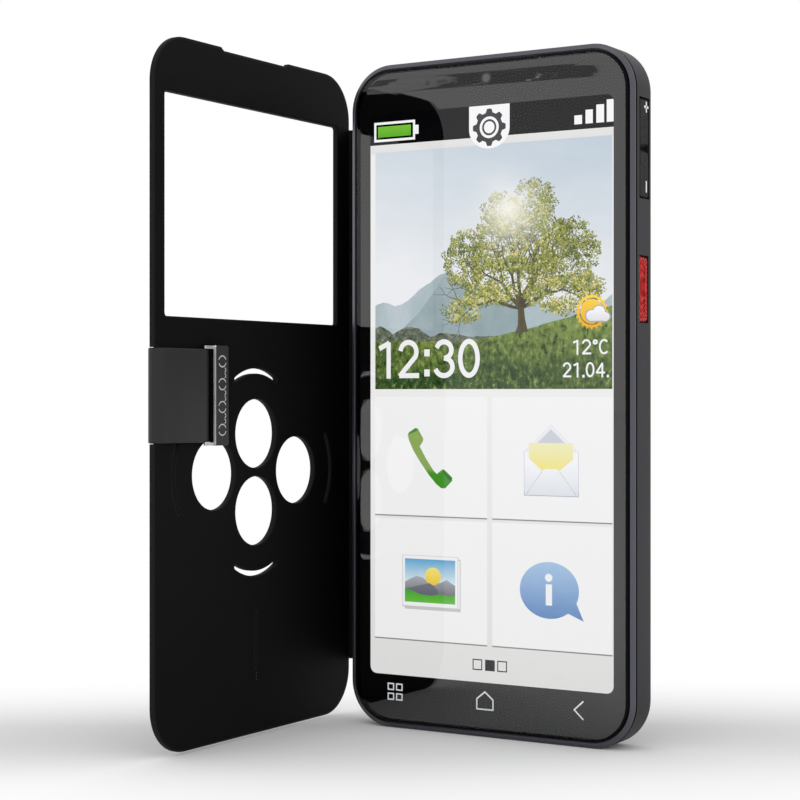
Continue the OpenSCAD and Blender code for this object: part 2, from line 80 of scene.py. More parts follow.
WIDTH = SHELL_HI[0] - SHELL_LO[0]
HEIGHT = SHELL_HI[2] - SHELL_LO[2]
MID_Z = HEIGHT / 2
CORNER = 10.0
GLASS_W = GLASS_HI[0] - GLASS_LO[0]
GLASS_H = GLASS_HI[2] - GLASS_LO[2]
GLASS_R = CORNER - (WIDTH - GLASS_W) / 2
Y_FRONT = GLASS_LO[1]
Y_GLASS = GLASS_HI[1]
Y_BACK = SHELL_HI[1]
JOINTS = {j["name"]: j for j in frame["joints"]}


# ---------------------------------------------------------------- materials
def srgb(r, g, b):
    """Linear colour from 0..255 display values."""
    def lin(c):
        c = c / 255
        return c / 12.92 if c <= 0.04045 else ((c + 0.055) / 1.055) ** 2.4
    return (lin(r), lin(g), lin(b), 1.0)


def shade(c, k):
    return (min(1, c[0] * k), min(1, c[1] * k), min(1, c[2] * k), 1.0)


def new_mat(name):
    m = bpy.data.materials.new(name)
    m.use_nodes = True
    m.node_tree.nodes.clear()
    return m, m.node_tree


def add(nt, kind, feeds=None, **settings):
    """A shader node with its settings; feeds gives its sockets another node's output or a value."""
    n = nt.nodes.new("ShaderNode" + kind)
    for key, value in settings.items():
        setattr(n, key, value)
    for key, value in (feeds or {}).items():
        if hasattr(value, "links"):
            nt.links.new(value, n.inputs[key])
        else:
            n.inputs[key].default_value = value
    return n


def show(nt, shader):
    """Send a shader to the material's output."""
    add(nt, "OutputMaterial", {0: shader.outputs[0]})


def coords(nt, scale=(1, 1, 1)):
    place = add(nt, "TexCoord").outputs["Object"]
    return add(nt, "Mapping", {"Vector": place, "Scale": scale}).outputs["Vector"]


def along(nt, vec, axis):
    return add(nt, "SeparateXYZ", {0: vec}).outputs[axis]


def noise(nt, vec, scale, detail=4.0, rough=0.55):
    return add(nt, "TexNoise", {"Vector": vec, "Scale": scale, "Detail": detail,
            "Roughness": rough}).outputs["Fac"]


def remap(nt, value, a0, a1, b0, b1):
    return add(nt, "MapRange", {"Value": value, "From Min": a0, "From Max": a1, "To Min": b0,
            "To Max": b1}).outputs["Result"]


def mix_colour(nt, fac, a, b):
    return add(nt, "Mix", {0: fac, 6: a, 7: b}, data_type="RGBA").outputs[2]


def maths(nt, op, a, b):
    return add(nt, "Math", {0: a, 1: b}, operation=op).outputs[0]


def distance(nt, vec, centre):
    return add(nt, "VectorMath", {0: vec, 1: centre}, operation="DISTANCE").outputs["Value"]


def raised(nt, height, strength):
    """Surface relief from a height, in tenths of a millimetre."""
    return add(nt, "Bump", {"Strength": strength, "Distance": 0.1 * MM, "Height": height}).outputs[0]


def mixed(nt, fac, first, second):
    return add(nt, "MixShader", {0: fac, 1: first.outputs[0], 2: second.outputs[0]})


def surface(name, colour, rough, metal=0.0, spec=0.5, var=0.12, grain=900.0, bump=0.05,
        cells=0.0, coat=0.0, wear=0.0, brushed=(1, 1, 1), rough_var=0.06, ior=1.5, fleck=0.0):
    """A solid finish: colour drift, roughness drift, fine grain or cells, and paler sharp edges."""
    m, nt = new_mat(name)
    base = srgb(*colour)
    vec = coords(nt, brushed)
    drift = noise(nt, vec, 60.0, 3.0)
    fine = noise(nt, vec, grain, 5.0, 0.6)
    col = mix_colour(nt, drift, shade(base, 1 - var), shade(base, 1 + var))
    if fleck:
        col = mix_colour(nt, remap(nt, fine, 0.5, 0.68, 0.0, fleck), col, shade(base, 2.2))
    # sharp edges are drawn paler through the pointiness mask
    if wear:
        edge = add(nt, "NewGeometry").outputs["Pointiness"]
        col = mix_colour(nt, remap(nt, edge, 0.52, 0.62, 0.0, wear), col, shade(base, 3.0))
    height = fine
    if cells:
        wall = add(nt, "TexVoronoi", {"Scale": cells, "Vector": vec}, feature="DISTANCE_TO_EDGE")
        height = maths(nt, "ADD", remap(nt, wall.outputs["Distance"], 0.0, 0.12, 0.0, 1.0),
                maths(nt, "MULTIPLY", fine, 0.35))
    gloss = remap(nt, fine, 0.3, 0.7, max(0.02, rough - rough_var), rough + rough_var)
    show(nt, add(nt, "BsdfPrincipled", {
        "Base Color": col, "Roughness": gloss, "Metallic": metal, "Specular IOR Level": spec,
        "Coat Weight": coat, "Coat Roughness": 0.08, "IOR": ior, "Normal": raised(nt, height, bump)}))
    return m


def ridged(name, colour, groove, centre, pitch):
    """Glossy moulded colour with fine raised rings about a point on its face; the grooves between the
    rings are painted darker as shade.
    """
    m, nt = new_mat(name)
    base = srgb(*colour)
    middle = (centre[0] * MM, centre[1] * MM, centre[2] * MM * 0.5)
    reach = distance(nt, coords(nt, (1, 1, 0.5)), middle)
    wave = maths(nt, "SINE", maths(nt, "MULTIPLY", reach, 2 * pi / (pitch * MM)), 0.0)
    fine = noise(nt, coords(nt), 1500.0, 3.0)
    # painted shade: the groove colour darkens the low parts of the rings
    col = mix_colour(nt, remap(nt, wave, -0.5, 0.4, 0.0, 1.0), srgb(*groove),
            mix_colour(nt, fine, shade(base, 0.85), shade(base, 1.15)))
    show(nt, add(nt, "BsdfPrincipled", {
        "Base Color": col, "Roughness": remap(nt, fine, 0.3, 0.7, 0.3, 0.42), "IOR": 1.4,
        "Normal": raised(nt, wave, 0.6)}))
    return m


def glow(name, low, high, z0, z1):
    """Lit screen colour that drifts from low at z0 to high at z1 with a trace of pixel noise."""
    m, nt = new_mat(name)
    vec = coords(nt)
    t = remap(nt, along(nt, vec, "Z"), z0 * MM, z1 * MM, 0.0, 1.0)
    pixels = maths(nt, "MULTIPLY", maths(nt, "SUBTRACT", noise(nt, vec, 400.0), 0.5), 0.2)
    col = mix_colour(nt, maths(nt, "ADD", t, pixels), srgb(*low), srgb(*high))
    show(nt, add(nt, "Emission", {"Color": col}))
    return m


def patchy_glow(name, stops, scale, detail=6.0, stretch=(1, 1, 1)):
    """Lit picture colour broken up by noise through a ramp of colours."""
    m, nt = new_mat(name)
    ramp = add(nt, "ValToRGB", {0: noise(nt, coords(nt, stretch), scale, detail, 0.65)})
    fill_ramp(ramp, [(pos, srgb(*c)) for pos, c in stops])
    show(nt, add(nt, "Emission", {"Color": ramp.outputs[0]}))
    return m


def fill_ramp(ramp, stops):
    el = ramp.color_ramp.elements
    el[0].position, el[0].color = stops[0]
    el[1].position, el[1].color = stops[-1]
    for pos, c in stops[1:-1]:
        el.new(pos).color = c


def halo(name, centre, radius, colour, power):
    """A soft light spot: glow that fades out from its centre."""
    m, nt = new_mat(name)
    vec = coords(nt)
    reach = distance(nt, vec, [c * MM for c in centre])
    fade = maths(nt, "POWER", remap(nt, reach, 0.0, radius * MM, 1.0, 0.0), power)
    fade = maths(nt, "MULTIPLY", fade, remap(nt, noise(nt, vec, 500.0, 3.0), 0.2, 0.8, 0.75, 1.0))
    show(nt, mixed(nt, fade, add(nt, "BsdfTransparent"), add(nt, "Emission", {"Color": colour})))
    return m


def clear_glass(name, tint, rough=0.015, smudge=0.03, ior=1.5):
    """Thin clear glass: see-through, with a Fresnel gloss that smudges vary."""
    m, nt = new_mat(name)
    smear = noise(nt, coords(nt), 45.0, 6.0, 0.6)
    gloss = add(nt, "BsdfGlossy", {"Color": (1, 1, 1, 1),
            "Roughness": remap(nt, smear, 0.35, 0.75, rough, rough + smudge)})
    show(nt, mixed(nt, add(nt, "Fresnel", {"IOR": ior}).outputs[0],
            add(nt, "BsdfTransparent", {0: tint}), gloss))
    return m


# ---------------------------------------------------------------- meshes
def into_scene(name, data):
    o = bpy.data.objects.new(name, data)
    bpy.context.scene.collection.objects.link(o)
    return o


def make(name, verts, faces, mat, body=None, smooth=True, angle=35.0, weighted=True):
    """A mesh piece from millimetre points."""
    me = bpy.data.meshes.new(name)
    me.from_pydata([Vector(v) * MM for v in verts], [], faces)
    me.validate()
    bm = bmesh.new()
    bm.from_mesh(me)
    bmesh.ops.remove_doubles(bm, verts=bm.verts, dist=1e-7)
    bmesh.ops.recalc_face_normals(bm, faces=bm.faces)
    bm.to_mesh(me)
    bm.free()
    me.materials.append(mat)
    o = into_scene(name, me)
    if smooth:
        soften(o, angle, weighted)
    if body:
        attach(o, body)
    return o


def soften(o, angle=35.0, weighted=True):
    for p in o.data.polygons:
        p.use_smooth = True
    o.data.set_sharp_from_angle(angle=radians(angle))
    if weighted:
        w = o.modifiers.new("even", "WEIGHTED_NORMAL")
        w.keep_sharp = True


def rounded(w, h, r, n=14, cx=0.0, cy=0.0):
    r = max(r, 0.01)
    pts = []
    for q, (sx, sy) in enumerate(((1, 1), (-1, 1), (-1, -1), (1, -1))):
        for i in range(n + 1):
            a = radians(90 * q + 90 * i / n)
            pts.append((cx + sx * (w / 2 - r) + r * cos(a), cy + sy * (h / 2 - r) + r * sin(a)))
    return pts


def loft(name, rings, mat, body=None, cap_start=True, cap_end=True, closed=False, **kw):
    """Skin through rings of points that all have one length."""
    n = len(rings[0])
    verts = [p for ring in rings for p in ring]
    faces = []
    turns = len(rings) if closed else len(rings) - 1
    for k in range(turns):
        a, b = k * n, ((k + 1) % len(rings)) * n
        for i in range(n):
            j = (i + 1) % n
            faces.append((a + i, a + j, b + j, b + i))
    if cap_start and not closed:
        faces.append(tuple(range(n)))
    if cap_end and not closed:
        faces.append(tuple(range((len(rings) - 1) * n, len(rings) * n)))
    return make(name, verts, faces, mat, body, **kw)


def front_ring(inset, y, w=WIDTH, h=HEIGHT, r=CORNER, n=14):
    """Outline seen from the front, pulled in by inset, at depth y."""
    return [(x, y, z + MID_Z) for x, z in rounded(w - 2 * inset, h - 2 * inset, max(r - inset, 0.3), n)]


def box_obj(name, x0, x1, y0, y1, z0, z1, mat, body=None, bevel=0.0):
    verts = [(x, y, z) for x in (x0, x1) for y in (y0, y1) for z in (z0, z1)]
    faces = [(0, 1, 3, 2), (4, 6, 7, 5), (0, 4, 5, 1), (2, 3, 7, 6), (0, 2, 6, 4), (1, 5, 7, 3)]
    o = make(name, verts, faces, mat, None, smooth=bevel > 0, weighted=False)
    if bevel:
        b = o.modifiers.new("round", "BEVEL")
        b.width = bevel * MM
        b.segments = 3
        b.harden_normals = True
    if body:
        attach(o, body)
    return o


def rod_obj(name, axis, centre, r, half, mat, n=40):
    """Round bar about an axis, used as a cutter or a small piece."""
    pts = []
    for s in (-half, half):
        ring = []
        for i in range(n):
            a = 2 * pi * i / n
            u, v = r * cos(a), r * sin(a)
            p = {"X": (s, u, v), "Y": (u, s, v), "Z": (u, v, s)}[axis]
            ring.append(tuple(c + d for c, d in zip(centre, p)))
        pts.append(ring)
    return loft(name, pts, mat)


def cut(o, cutters, op="DIFFERENCE"):
    """Apply booleans and drop the cutters."""
    for c in cutters:
        m = o.modifiers.new("cut", "BOOLEAN")
        m.operation = op
        m.object = c
        m.solver = "EXACT"
    bpy.context.view_layer.update()
    dg = bpy.context.evaluated_depsgraph_get()
    me = bpy.data.meshes.new_from_object(o.evaluated_get(dg))
    me.name = o.name
    o.modifiers.clear()
    o.data = me
    for c in cutters:
        bpy.data.objects.remove(c)
    return o


def holed_plate(name, outer, holes, profile, place, mat, body=None):
    """A flat sheet with holes and shaped edges. Loops run with the sheet on their left;
    profile lists (inset, depth) from one face to the other."""
    loops = [outer] + holes
    verts, faces = [], []
    first, last = [], []
    for loop in loops:
        n = len(loop)
        normals = []
        for i in range(n):
            a, b, c = Vector(loop[i - 1]), Vector(loop[i]), Vector(loop[(i + 1) % n])
            d1, d2 = (b - a).normalized(), (c - b).normalized()
            n1, n2 = Vector((-d1.y, d1.x)), Vector((-d2.y, d2.x))
            m = (n1 + n2).normalized()
            normals.append(m / max(0.5, m.dot(n1)))
        rings = []
        for inset, depth in profile:
            base = len(verts)
            for p, nn in zip(loop, normals):
                q = Vector(p) + nn * inset
                verts.append(place(q.x, q.y, depth))
            rings.append((base, [(Vector(p) + nn * inset) for p, nn in zip(loop, normals)]))
        for (a, _), (b, _) in zip(rings, rings[1:]):
            for i in range(n):
                j = (i + 1) % n
                faces.append((a + i, a + j, b + j, b + i))
        first.append(rings[0])
        last.append(rings[-1])
    for group in (first, last):
        flat = [[Vector((p.x, p.y, 0)) for p in pts] for _, pts in group]
        index = [b + i for b, pts in group for i in range(len(pts))]
        for tri in tessellate_polygon(flat):
            faces.append(tuple(index[t] for t in tri))
    return make(name, verts, faces, mat, body, angle=50.0)


def sweep(name, path, width0, width1, thick, mat, edge=0.3):
    """A flat strap along a path of (x, y) points, from height width0 to width1."""
    pts = smooth_path([Vector(p) for p in path], 6)
    rings = []
    for i, p in enumerate(pts):
        t = (pts[min(i + 1, len(pts) - 1)] - pts[max(i - 1, 0)]).normalized()
        nrm = Vector((-t.y, t.x))
        h = thick / 2
        ring = []
        outline = [(-h, width0 + edge), (-h, width1 - edge), (-h + edge * 0.3, width1 - edge * 0.3),
                (-h + edge, width1), (h - edge, width1), (h - edge * 0.3, width1 - edge * 0.3),
                (h, width1 - edge), (h, width0 + edge), (h - edge * 0.3, width0 + edge * 0.3),
                (h - edge, width0), (-h + edge, width0), (-h + edge * 0.3, width0 + edge * 0.3)]
        for off, z in outline:
            q = p + nrm * off
            ring.append((q.x, q.y, z))
        rings.append(ring)
    return loft(name, rings, mat, angle=50.0)


def smooth_path(pts, steps):
    """Catmull-Rom points through a rough path."""
    out = []
    for i in range(len(pts) - 1):
        p0, p1 = pts[max(i - 1, 0)], pts[i]
        p2, p3 = pts[i + 1], pts[min(i + 2, len(pts) - 1)]
        for k in range(steps):
            t = k / steps
            out.append(0.5 * ((2 * p1) + (p2 - p0) * t + (2 * p0 - 5 * p1 + 4 * p2 - p3) * t * t
                    + (3 * p1 - p0 - 3 * p2 + p3) * t ** 3))
    out.append(pts[-1])
    return out


# ---------------------------------------------------------------- finishes
M_GLASS = clear_glass("screen_glass", (0.98, 0.98, 0.99, 1), 0.006, 0.012, 1.45)
M_GLASS_EDGE = surface("glass_edge", (12, 12, 14), 0.3, spec=0.2, ior=1.2, var=0.2, grain=900, bump=0.0)
M_PRINT = surface("black_print", (9, 9, 11), 0.03, ior=1.66, var=0.3, grain=40, bump=0.0, rough_var=0.01)
M_BLACK = surface("matte_black", (9, 9, 11), 0.6, spec=0.1, ior=1.05, var=0.3, grain=40, bump=0.02)
M_BAND = surface("band_metal", (82, 82, 89), 0.36, metal=0.6, spec=0.35, var=0.08, grain=2600,
        bump=0.05, wear=0.2)
M_SHELL = surface("shell_plastic", (40, 39, 43), 0.44, spec=0.3, ior=1.3, var=0.1, grain=3200, bump=0.08,
        wear=0.1)
M_KEY = surface("key_rubber", (20, 20, 22), 0.5, spec=0.3, ior=1.3, var=0.2, grain=2500, bump=1.0,
        cells=1500, wear=0.2)
# the second colour is painted shade for the grooves between the ridges
M_RED = ridged("red_key", (226, 28, 22), (140, 12, 12), (KEY_HI[0], 1.9, 96.8), 0.42)
M_MARK = surface("white_mark", (236, 236, 232), 0.5, var=0.05, grain=1800, bump=0.05)
M_LEATHER = surface("cover_leather", (20, 20, 22), 0.56, spec=0.3, ior=1.25, var=0.16, grain=2600,
        bump=0.5, cells=2300, wear=0.2)
M_RIM = surface("cover_rim", (36, 36, 39), 0.45, spec=0.4, ior=1.4, var=0.12, grain=2600, bump=0.2,
        wear=0.3)
M_LINING = surface("cover_lining", (14, 14, 14), 0.5, spec=0.3, ior=1.16, var=0.16, grain=3800,
        bump=0.15, cells=5200)
M_STRAP = surface("strap_leather", (31, 31, 32), 0.38, spec=0.4, ior=1.4, var=0.06, grain=2400, bump=0.1,
        cells=3600, wear=0.1)
M_ENGRAVE = surface("engraved_silver", (196, 196, 198), 0.4, var=0.15, grain=1800, bump=0.1)
M_CLIP = surface("clip_steel", (172, 172, 175), 0.3, metal=1.0, var=0.08, grain=2200, bump=0.06,
        brushed=(1, 1, 0.05), wear=0.3)
M_CLIP_DARK = surface("clip_dark", (52, 52, 54), 0.42, metal=0.5, spec=0.3, var=0.14, grain=2400,
        bump=0.2)
M_MESH = surface("earpiece_mesh", (14, 14, 15), 0.5, metal=0.4, var=0.3, grain=3000, bump=0.8,
        cells=6000)

# ---------------------------------------------------------------- handset
HAND = "handset"

glass_profile = [(0.0, Y_GLASS), (0.0, Y_GLASS - 0.3), (0.04, Y_GLASS - 0.45), (0.14, Y_GLASS - 0.6),
        (0.32, Y_GLASS - 0.73), (0.6, Y_GLASS - 0.84), (0.95, Y_GLASS - 0.92),
        (1.35, Y_GLASS - 0.975), (1.8, Y_FRONT), (2.3, Y_FRONT)]
glass = loft("front_glass", [front_ring(i, y, GLASS_W, GLASS_H, GLASS_R) for i, y in glass_profile],
        M_GLASS, cap_start=False, angle=60)
slot_w, slot_d = 25.0, 0.8
z_top = MID_Z + GLASS_H / 2
cut(glass, [box_obj("ear_cut", -slot_w / 2, slot_w / 2, Y_FRONT - 1, Y_GLASS + 1, z_top - slot_d,
        z_top + 2, M_GLASS)])
glass.data.materials.append(M_GLASS_EDGE)
EDGE_DARK = 0.14        # how far behind the front the glass's rounded edge turns dark
for p in glass.data.polygons:
    if p.center.y / MM > Y_FRONT + EDGE_DARK and len(p.vertices) < 20:
        p.material_index = 1
soften(glass, 60)
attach(glass, HAND)
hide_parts("cover_glass")

# lit picture area, millimetres
PIC_X0, PIC_X1 = -30.0, 30.0
PIC_Z0, PIC_Z1 = 11.8, 137.1

picture_hole = rounded(PIC_X1 - PIC_X0, PIC_Z1 - PIC_Z0, 1.6, 6, 0, (PIC_Z0 + PIC_Z1) / 2 - MID_Z)
print_plate = holed_plate(
    "black_border", rounded(GLASS_W - 0.1, GLASS_H - 0.1, GLASS_R - 0.05, 14), [picture_hole[::-1]],
    [(0.0, Y_GLASS - 0.12), (0.0, Y_GLASS - 0.02)], lambda a, b, d: (a, d, b + MID_Z), M_PRINT)
cut(print_plate, [
    box_obj("ear_cut2", -slot_w / 2, slot_w / 2, Y_FRONT - 1, Y_GLASS + 1, z_top - slot_d, z_top + 2,
            M_PRINT),
    rod_obj("cam_cut", "Y", (-0.4, Y_GLASS, 143), 1.35, 2, M_PRINT)])
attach(print_plate, HAND)

band = loft("bezel_band", [
    front_ring(1.75, Y_GLASS + 0.02), front_ring(1.6, BAND_HI[1]), front_ring(1.2, BAND_HI[1]),
    front_ring(1.15, SHELL_LO[1] - 0.25), front_ring(0.1, SHELL_LO[1] - 0.25),
    front_ring(0.0, SHELL_LO[1] - 0.35), front_ring(0.0, Y_GLASS + 0.06), front_ring(0.05, Y_GLASS),
    front_ring(0.85, BAND_LO[1] + 0.03), front_ring(0.95, BAND_LO[1]),
    front_ring(1.03, BAND_LO[1] + 0.05),
    front_ring(1.05, Y_GLASS + 0.02)], M_BAND, HAND, closed=True, angle=28)
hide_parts("front_band")

# back shell
edge_r, wall = 1.8, 1.1
y_bend = Y_BACK - edge_r
shell_rings = [front_ring(wall, SHELL_LO[1] + 0.02), front_ring(0.14, SHELL_LO[1] + 0.03),
        front_ring(0.0, SHELL_LO[1] + 0.3), front_ring(0.0, y_bend - 1.0), front_ring(0.0, y_bend)]
for k in range(1, 9):
    a = radians(90 * k / 8)
    shell_rings.append(front_ring(edge_r * (1 - cos(a)), y_bend + edge_r * sin(a)))
shell_rings.append(front_ring(edge_r + 0.6, Y_BACK))
shell = loft("rear_cover", shell_rings, M_SHELL)
cam_z, flash_x, spk_x, spk_z, jack_x, jack_y, usb_y = 128.0, 12.5, -17.0, 15.0, -19.0, 0.9, 0.85
cavity = loft("cavity", [front_ring(wall, SHELL_LO[1] - 1), front_ring(wall, Y_BACK - wall - 0.7),
        front_ring(wall + 0.7, Y_BACK - wall)], M_SHELL)
# windows of the two side keys, the recess of the spine's tape, camera, flash, headphones, microphone
cutters = [
    cavity,
    box_obj("c1", 20, 40, -2.1, 3.0, 115.3, 136.5, M_SHELL),
    box_obj("c2", 20, 40, -2.1, 2.5, 89.3, 103.4, M_SHELL),
    box_obj("c3", TAPE_LO[0], TAPE_HI[0] + 0.05, Y_BACK - 0.6, Y_BACK + 1, SPINE_LO[2], SPINE_HI[2],
            M_SHELL),
    rod_obj("c4", "Y", (0, Y_BACK, cam_z), 5.6, 3, M_SHELL, 64),
    rod_obj("c5", "Y", (flash_x, Y_BACK, cam_z), 2.1, 3, M_SHELL, 40),
    rod_obj("c6", "Z", (jack_x, jack_y, HEIGHT), 2.6, 5, M_SHELL, 48),
    rod_obj("c7", "Z", (13, -0.1, 0), 0.5, 4, M_SHELL, 24)]
usb_ring = rounded(9.44, 3.66, 1.82, 8, 0, usb_y)
cutters.append(loft("c8", [[(x, y, z) for x, y in usb_ring] for z in (-1, 3)], M_SHELL))
for i in range(-3, 4):
    cutters.append(box_obj("s%d" % i, spk_x + 2 * i - 0.45, spk_x + 2 * i + 0.45, Y_BACK - 3, Y_BACK + 1,
            spk_z - 3.2, spk_z + 3.2, M_SHELL))
cut(shell, cutters)
shell.data.materials.append(M_BLACK)
for p in shell.data.polygons:
    if p.center.y / MM < SHELL_LO[1] + 0.2:
        p.material_index = 1
soften(shell, 32)
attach(shell, HAND)
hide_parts("back_shell")


def side_ring(lo, hi, inset, x, r=0.7, n=6):
    """Outline of a side key seen from the right, at distance x."""
    cy, cz = (lo[1] + hi[1]) / 2, (lo[2] + hi[2]) / 2
    return [(x, cy + a, cz + b) for a, b in rounded(hi[1] - lo[1] - 2 * inset, hi[2] - lo[2] - 2 * inset,
            max(r - inset, 0.12), n)]


# volume key
vlo, vhi = [VOL_LO[0], -1.85, 115.6], [VOL_HI[0], 2.75, 136.2]
xf = VOL_HI[0]
vol = loft("volume_key_cap", [side_ring(vlo, vhi, 0.0, 33.05), side_ring(vlo, vhi, 0.0, xf - 0.3),
        side_ring(vlo, vhi, 0.09, xf - 0.1), side_ring(vlo, vhi, 0.3, xf),
        side_ring(vlo, vhi, 0.6, xf)], M_KEY)
groove = box_obj("g", -0.7, 0.7, -8, 8, -0.7, 0.7, M_KEY)
groove.data.transform(Matrix.Translation(Vector((xf, 0, 125.9)) * MM) @ Matrix.Rotation(radians(45),
        4, "Y"))
cut(vol, [groove])
soften(vol, 40)
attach(vol, "volume_rocker")
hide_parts("volume_key")
mark_y = 1.5
for nm, w, h, z in (("plus_bar_a", 2.1, 0.5, 134.6), ("plus_bar_b", 0.5, 2.3, 134.6),
        ("minus_bar", 0.5, 2.4, 117.9)):
    b = box_obj("volume_" + nm, xf - 0.06, xf + 0.03, mark_y - w / 2, mark_y + w / 2, z - h / 2,
            z + h / 2, M_MARK, None, 0.03)
    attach(b, "volume_rocker")

# red side key with ridges
klo, khi = [KEY_LO[0], -1.85, 89.55], [KEY_HI[0], 2.25, 103.15]
xk = KEY_HI[0]
rings = [side_ring(klo, khi, 0.0, 33.05), side_ring(klo, khi, 0.0, xk - 0.5),
        side_ring(klo, khi, 0.1, xk - 0.38), side_ring(klo, khi, 0.45, xk - 0.24)]
inset, up = 0.62, True
while inset < 1.95:
    for step in (0.0, 0.1):
        rings.append(side_ring(klo, khi, inset + step, xk - 0.06 if up else xk - 0.26))
    up = not up
    inset += 0.22
red = loft("function_key", rings, M_RED, None, angle=30, weighted=False)
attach(red, "function_button")
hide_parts("side_key")

# ---------------------------------------------------------------- screen contents
LAYER = 0.012


def panes(name, shapes, layer, mat):
    """Flat lit shapes of (x, z) points in the picture, as one piece."""
    y = Y_GLASS - 0.03 - LAYER * layer
    verts, faces = [], []
    for pts in shapes:
        base = len(verts)
        verts += [(x, y, z) for x, z in pts]
        faces.append(tuple(range(base, base + len(pts))))
    me = bpy.data.meshes.new("ui_" + name)
    me.from_pydata([Vector(v) * MM for v in verts], [], faces)
    for p in me.polygons:
        if p.normal.y > 0:
            p.flip()
    me.materials.append(mat)
    o = into_scene("ui_" + name, me)
    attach(o, HAND)


def pane(name, pts, layer, mat):
    panes(name, [pts], layer, mat)


def quad(x0, x1, z0, z1):
    return [(x0, z0), (x1, z0), (x1, z1), (x0, z1)]


def oval(cx, cz, rx, rz, n=40):
    return [(cx + rx * cos(2 * pi * i / n), cz + rz * sin(2 * pi * i / n)) for i in range(n)]


def frame_strips(x0, x1, z0, z1, t):
    return [quad(x0, x1, z0, z0 + t), quad(x0, x1, z1 - t, z1), quad(x0, x0 + t, z0 + t, z1 - t),
            quad(x1 - t, x1, z0 + t, z1 - t)]


def sweep_arc(cx, cz, rx, rz, a0, a1, n=18):
    return [(cx + rx * cos(radians(a0 + (a1 - a0) * i / n)),
            cz + rz * sin(radians(a0 + (a1 - a0) * i / n))) for i in range(n + 1)]


def stroke(points, w, closed=False):
    """Thin line through points as quads."""
    out = []
    pts = points + ([points[0]] if closed else [])
    for (xa, za), (xb, zb) in zip(pts, pts[1:]):
        d = hypot(xb - xa, zb - za)
        nx, nz = -(zb - za) / d * w / 2, (xb - xa) / d * w / 2
        ex, ez = (xb - xa) / d * w * 0.2, (zb - za) / d * w * 0.2
        out.append([(xa + nx - ex, za + nz - ez), (xa - nx - ex, za - nz - ez),
                (xb - nx + ex, zb - nz + ez), (xb + nx + ex, zb + nz + ez)])
    return out


# plain numerals as pen strokes in a box one unit high: strokes and advance width
GLYPHS = {
    "0": ([sweep_arc(0.29, 0.5, 0.23, 0.45, 0, 360, 36)], 0.66),
    "1": ([[(0.1, 0.8), (0.34, 0.93), (0.34, 0.0)]], 0.6),
    "2": ([sweep_arc(0.29, 0.69, 0.22, 0.26, 168, -32) + [(0.06, 0.05), (0.56, 0.05)]], 0.66),
    "3": ([sweep_arc(0.28, 0.73, 0.2, 0.22, 158, -80),
        sweep_arc(0.28, 0.28, 0.23, 0.235, 84, -160)], 0.66),
    "4": ([[(0.43, 0.0), (0.43, 0.93), (0.05, 0.3), (0.58, 0.3)]], 0.66),
    "C": ([sweep_arc(0.33, 0.5, 0.26, 0.45, 48, 312, 28)], 0.7),
    "o": ([sweep_arc(0.17, 0.82, 0.1, 0.11, 0, 360)], 0.38),
    ".": ([[(0.13, 0.0), (0.13, 0.12)]], 0.28),
    ":": ([[(0.14, 0.06), (0.14, 0.18)], [(0.14, 0.6), (0.14, 0.72)]], 0.32),
}


def numerals(name, body, x0, x1, z0, z1, w, layer, mat):
    """Plain numerals fitted to a box in the picture."""
    total = sum(GLYPHS[c][1] for c in body) - 0.1
    sx, sz = (x1 - x0) / total, z1 - z0
    x, shapes = x0, []
    for c in body:
        for line in GLYPHS[c][0]:
            pts = [(x + u * sx, z0 + v * sz) for u, v in line]
            shapes += stroke(pts, w * (1.25 if c in ".:" else 1))
        x += GLYPHS[c][1] * sx
    panes(name, shapes, layer, mat)


G_PAGE = glow("lit_page", (222, 222, 220), (240, 240, 238), PIC_Z0, 76)
G_TILE = glow("lit_tile", (240, 240, 239), (245, 245, 245), 20, 74)
G_WHITE = glow("lit_white", (240, 240, 240), (250, 250, 250), 60, 140)
G_STRIP = glow("lit_strip", (226, 226, 224), (234, 234, 232), 128, 131)
G_BAR = glow("lit_bar", (9, 9, 11), (4, 4, 6), 128, 137)
G_DARK = glow("lit_dark", (44, 44, 46), (64, 64, 66), 10, 140)
G_GREEN = glow("lit_green", (84, 168, 40), (140, 208, 70), 131, 136)
G_LINE = glow("lit_line", (196, 196, 194), (208, 208, 206), 10, 140)
G_SHADOW = glow("lit_shadow", (132, 130, 124), (150, 148, 142), 10, 140)

pane("page", quad(PIC_X0, PIC_X1, PIC_Z0, 130.5), 0, G_PAGE)
pane("status_bar", quad(PIC_X0, PIC_X1, 130.2, PIC_Z1), 1, G_BAR)
pane("strip", quad(PIC_X0, PIC_X1, 128.3, 130.2), 2, G_STRIP)

# landscape
X0, X1, Z0, Z1 = -28.7, 29.7, 75.5, 128.5


def sky_mat():
    m, nt = new_mat("lit_sky")
    vec = coords(nt)
    up = remap(nt, along(nt, vec, "Z"), 92 * MM, 129 * MM, 0.0, 1.0)
    side = remap(nt, along(nt, vec, "X"), -29 * MM, 30 * MM, 0.0, 0.35)
    cloud = remap(nt, noise(nt, coords(nt, (1, 1, 2.2)), 55.0, 6.0, 0.6), 0.35, 0.7, 0.2, 0.42)
    t = maths(nt, "SUBTRACT", maths(nt, "ADD", up, side), cloud)
    show(nt, add(nt, "Emission", {"Color": mix_colour(nt, t, srgb(236, 238, 240), srgb(196, 209, 220))}))
    return m


pane("sky", quad(X0, X1, Z0, Z1), 3, sky_mat())
rnd = random.Random(11)


def ridge(points, x0, x1, n, rough, seed):
    """Heights along x through a few points, roughened."""
    r = random.Random(seed)
    out = []
    phase = [r.uniform(0, 6.28) for _ in range(5)]
    for i in range(n + 1):
        x = x0 + (x1 - x0) * i / n
        for (xa, za), (xb, zb) in zip(points, points[1:]):
            if xa <= x <= xb:
                z = za + (zb - za) * (x - xa) / (xb - xa)
        z += rough * sum(sin(x * (0.7 + 0.9 * k) + phase[k]) / (1 + k) for k in range(5))
        out.append((x, z))
    return out


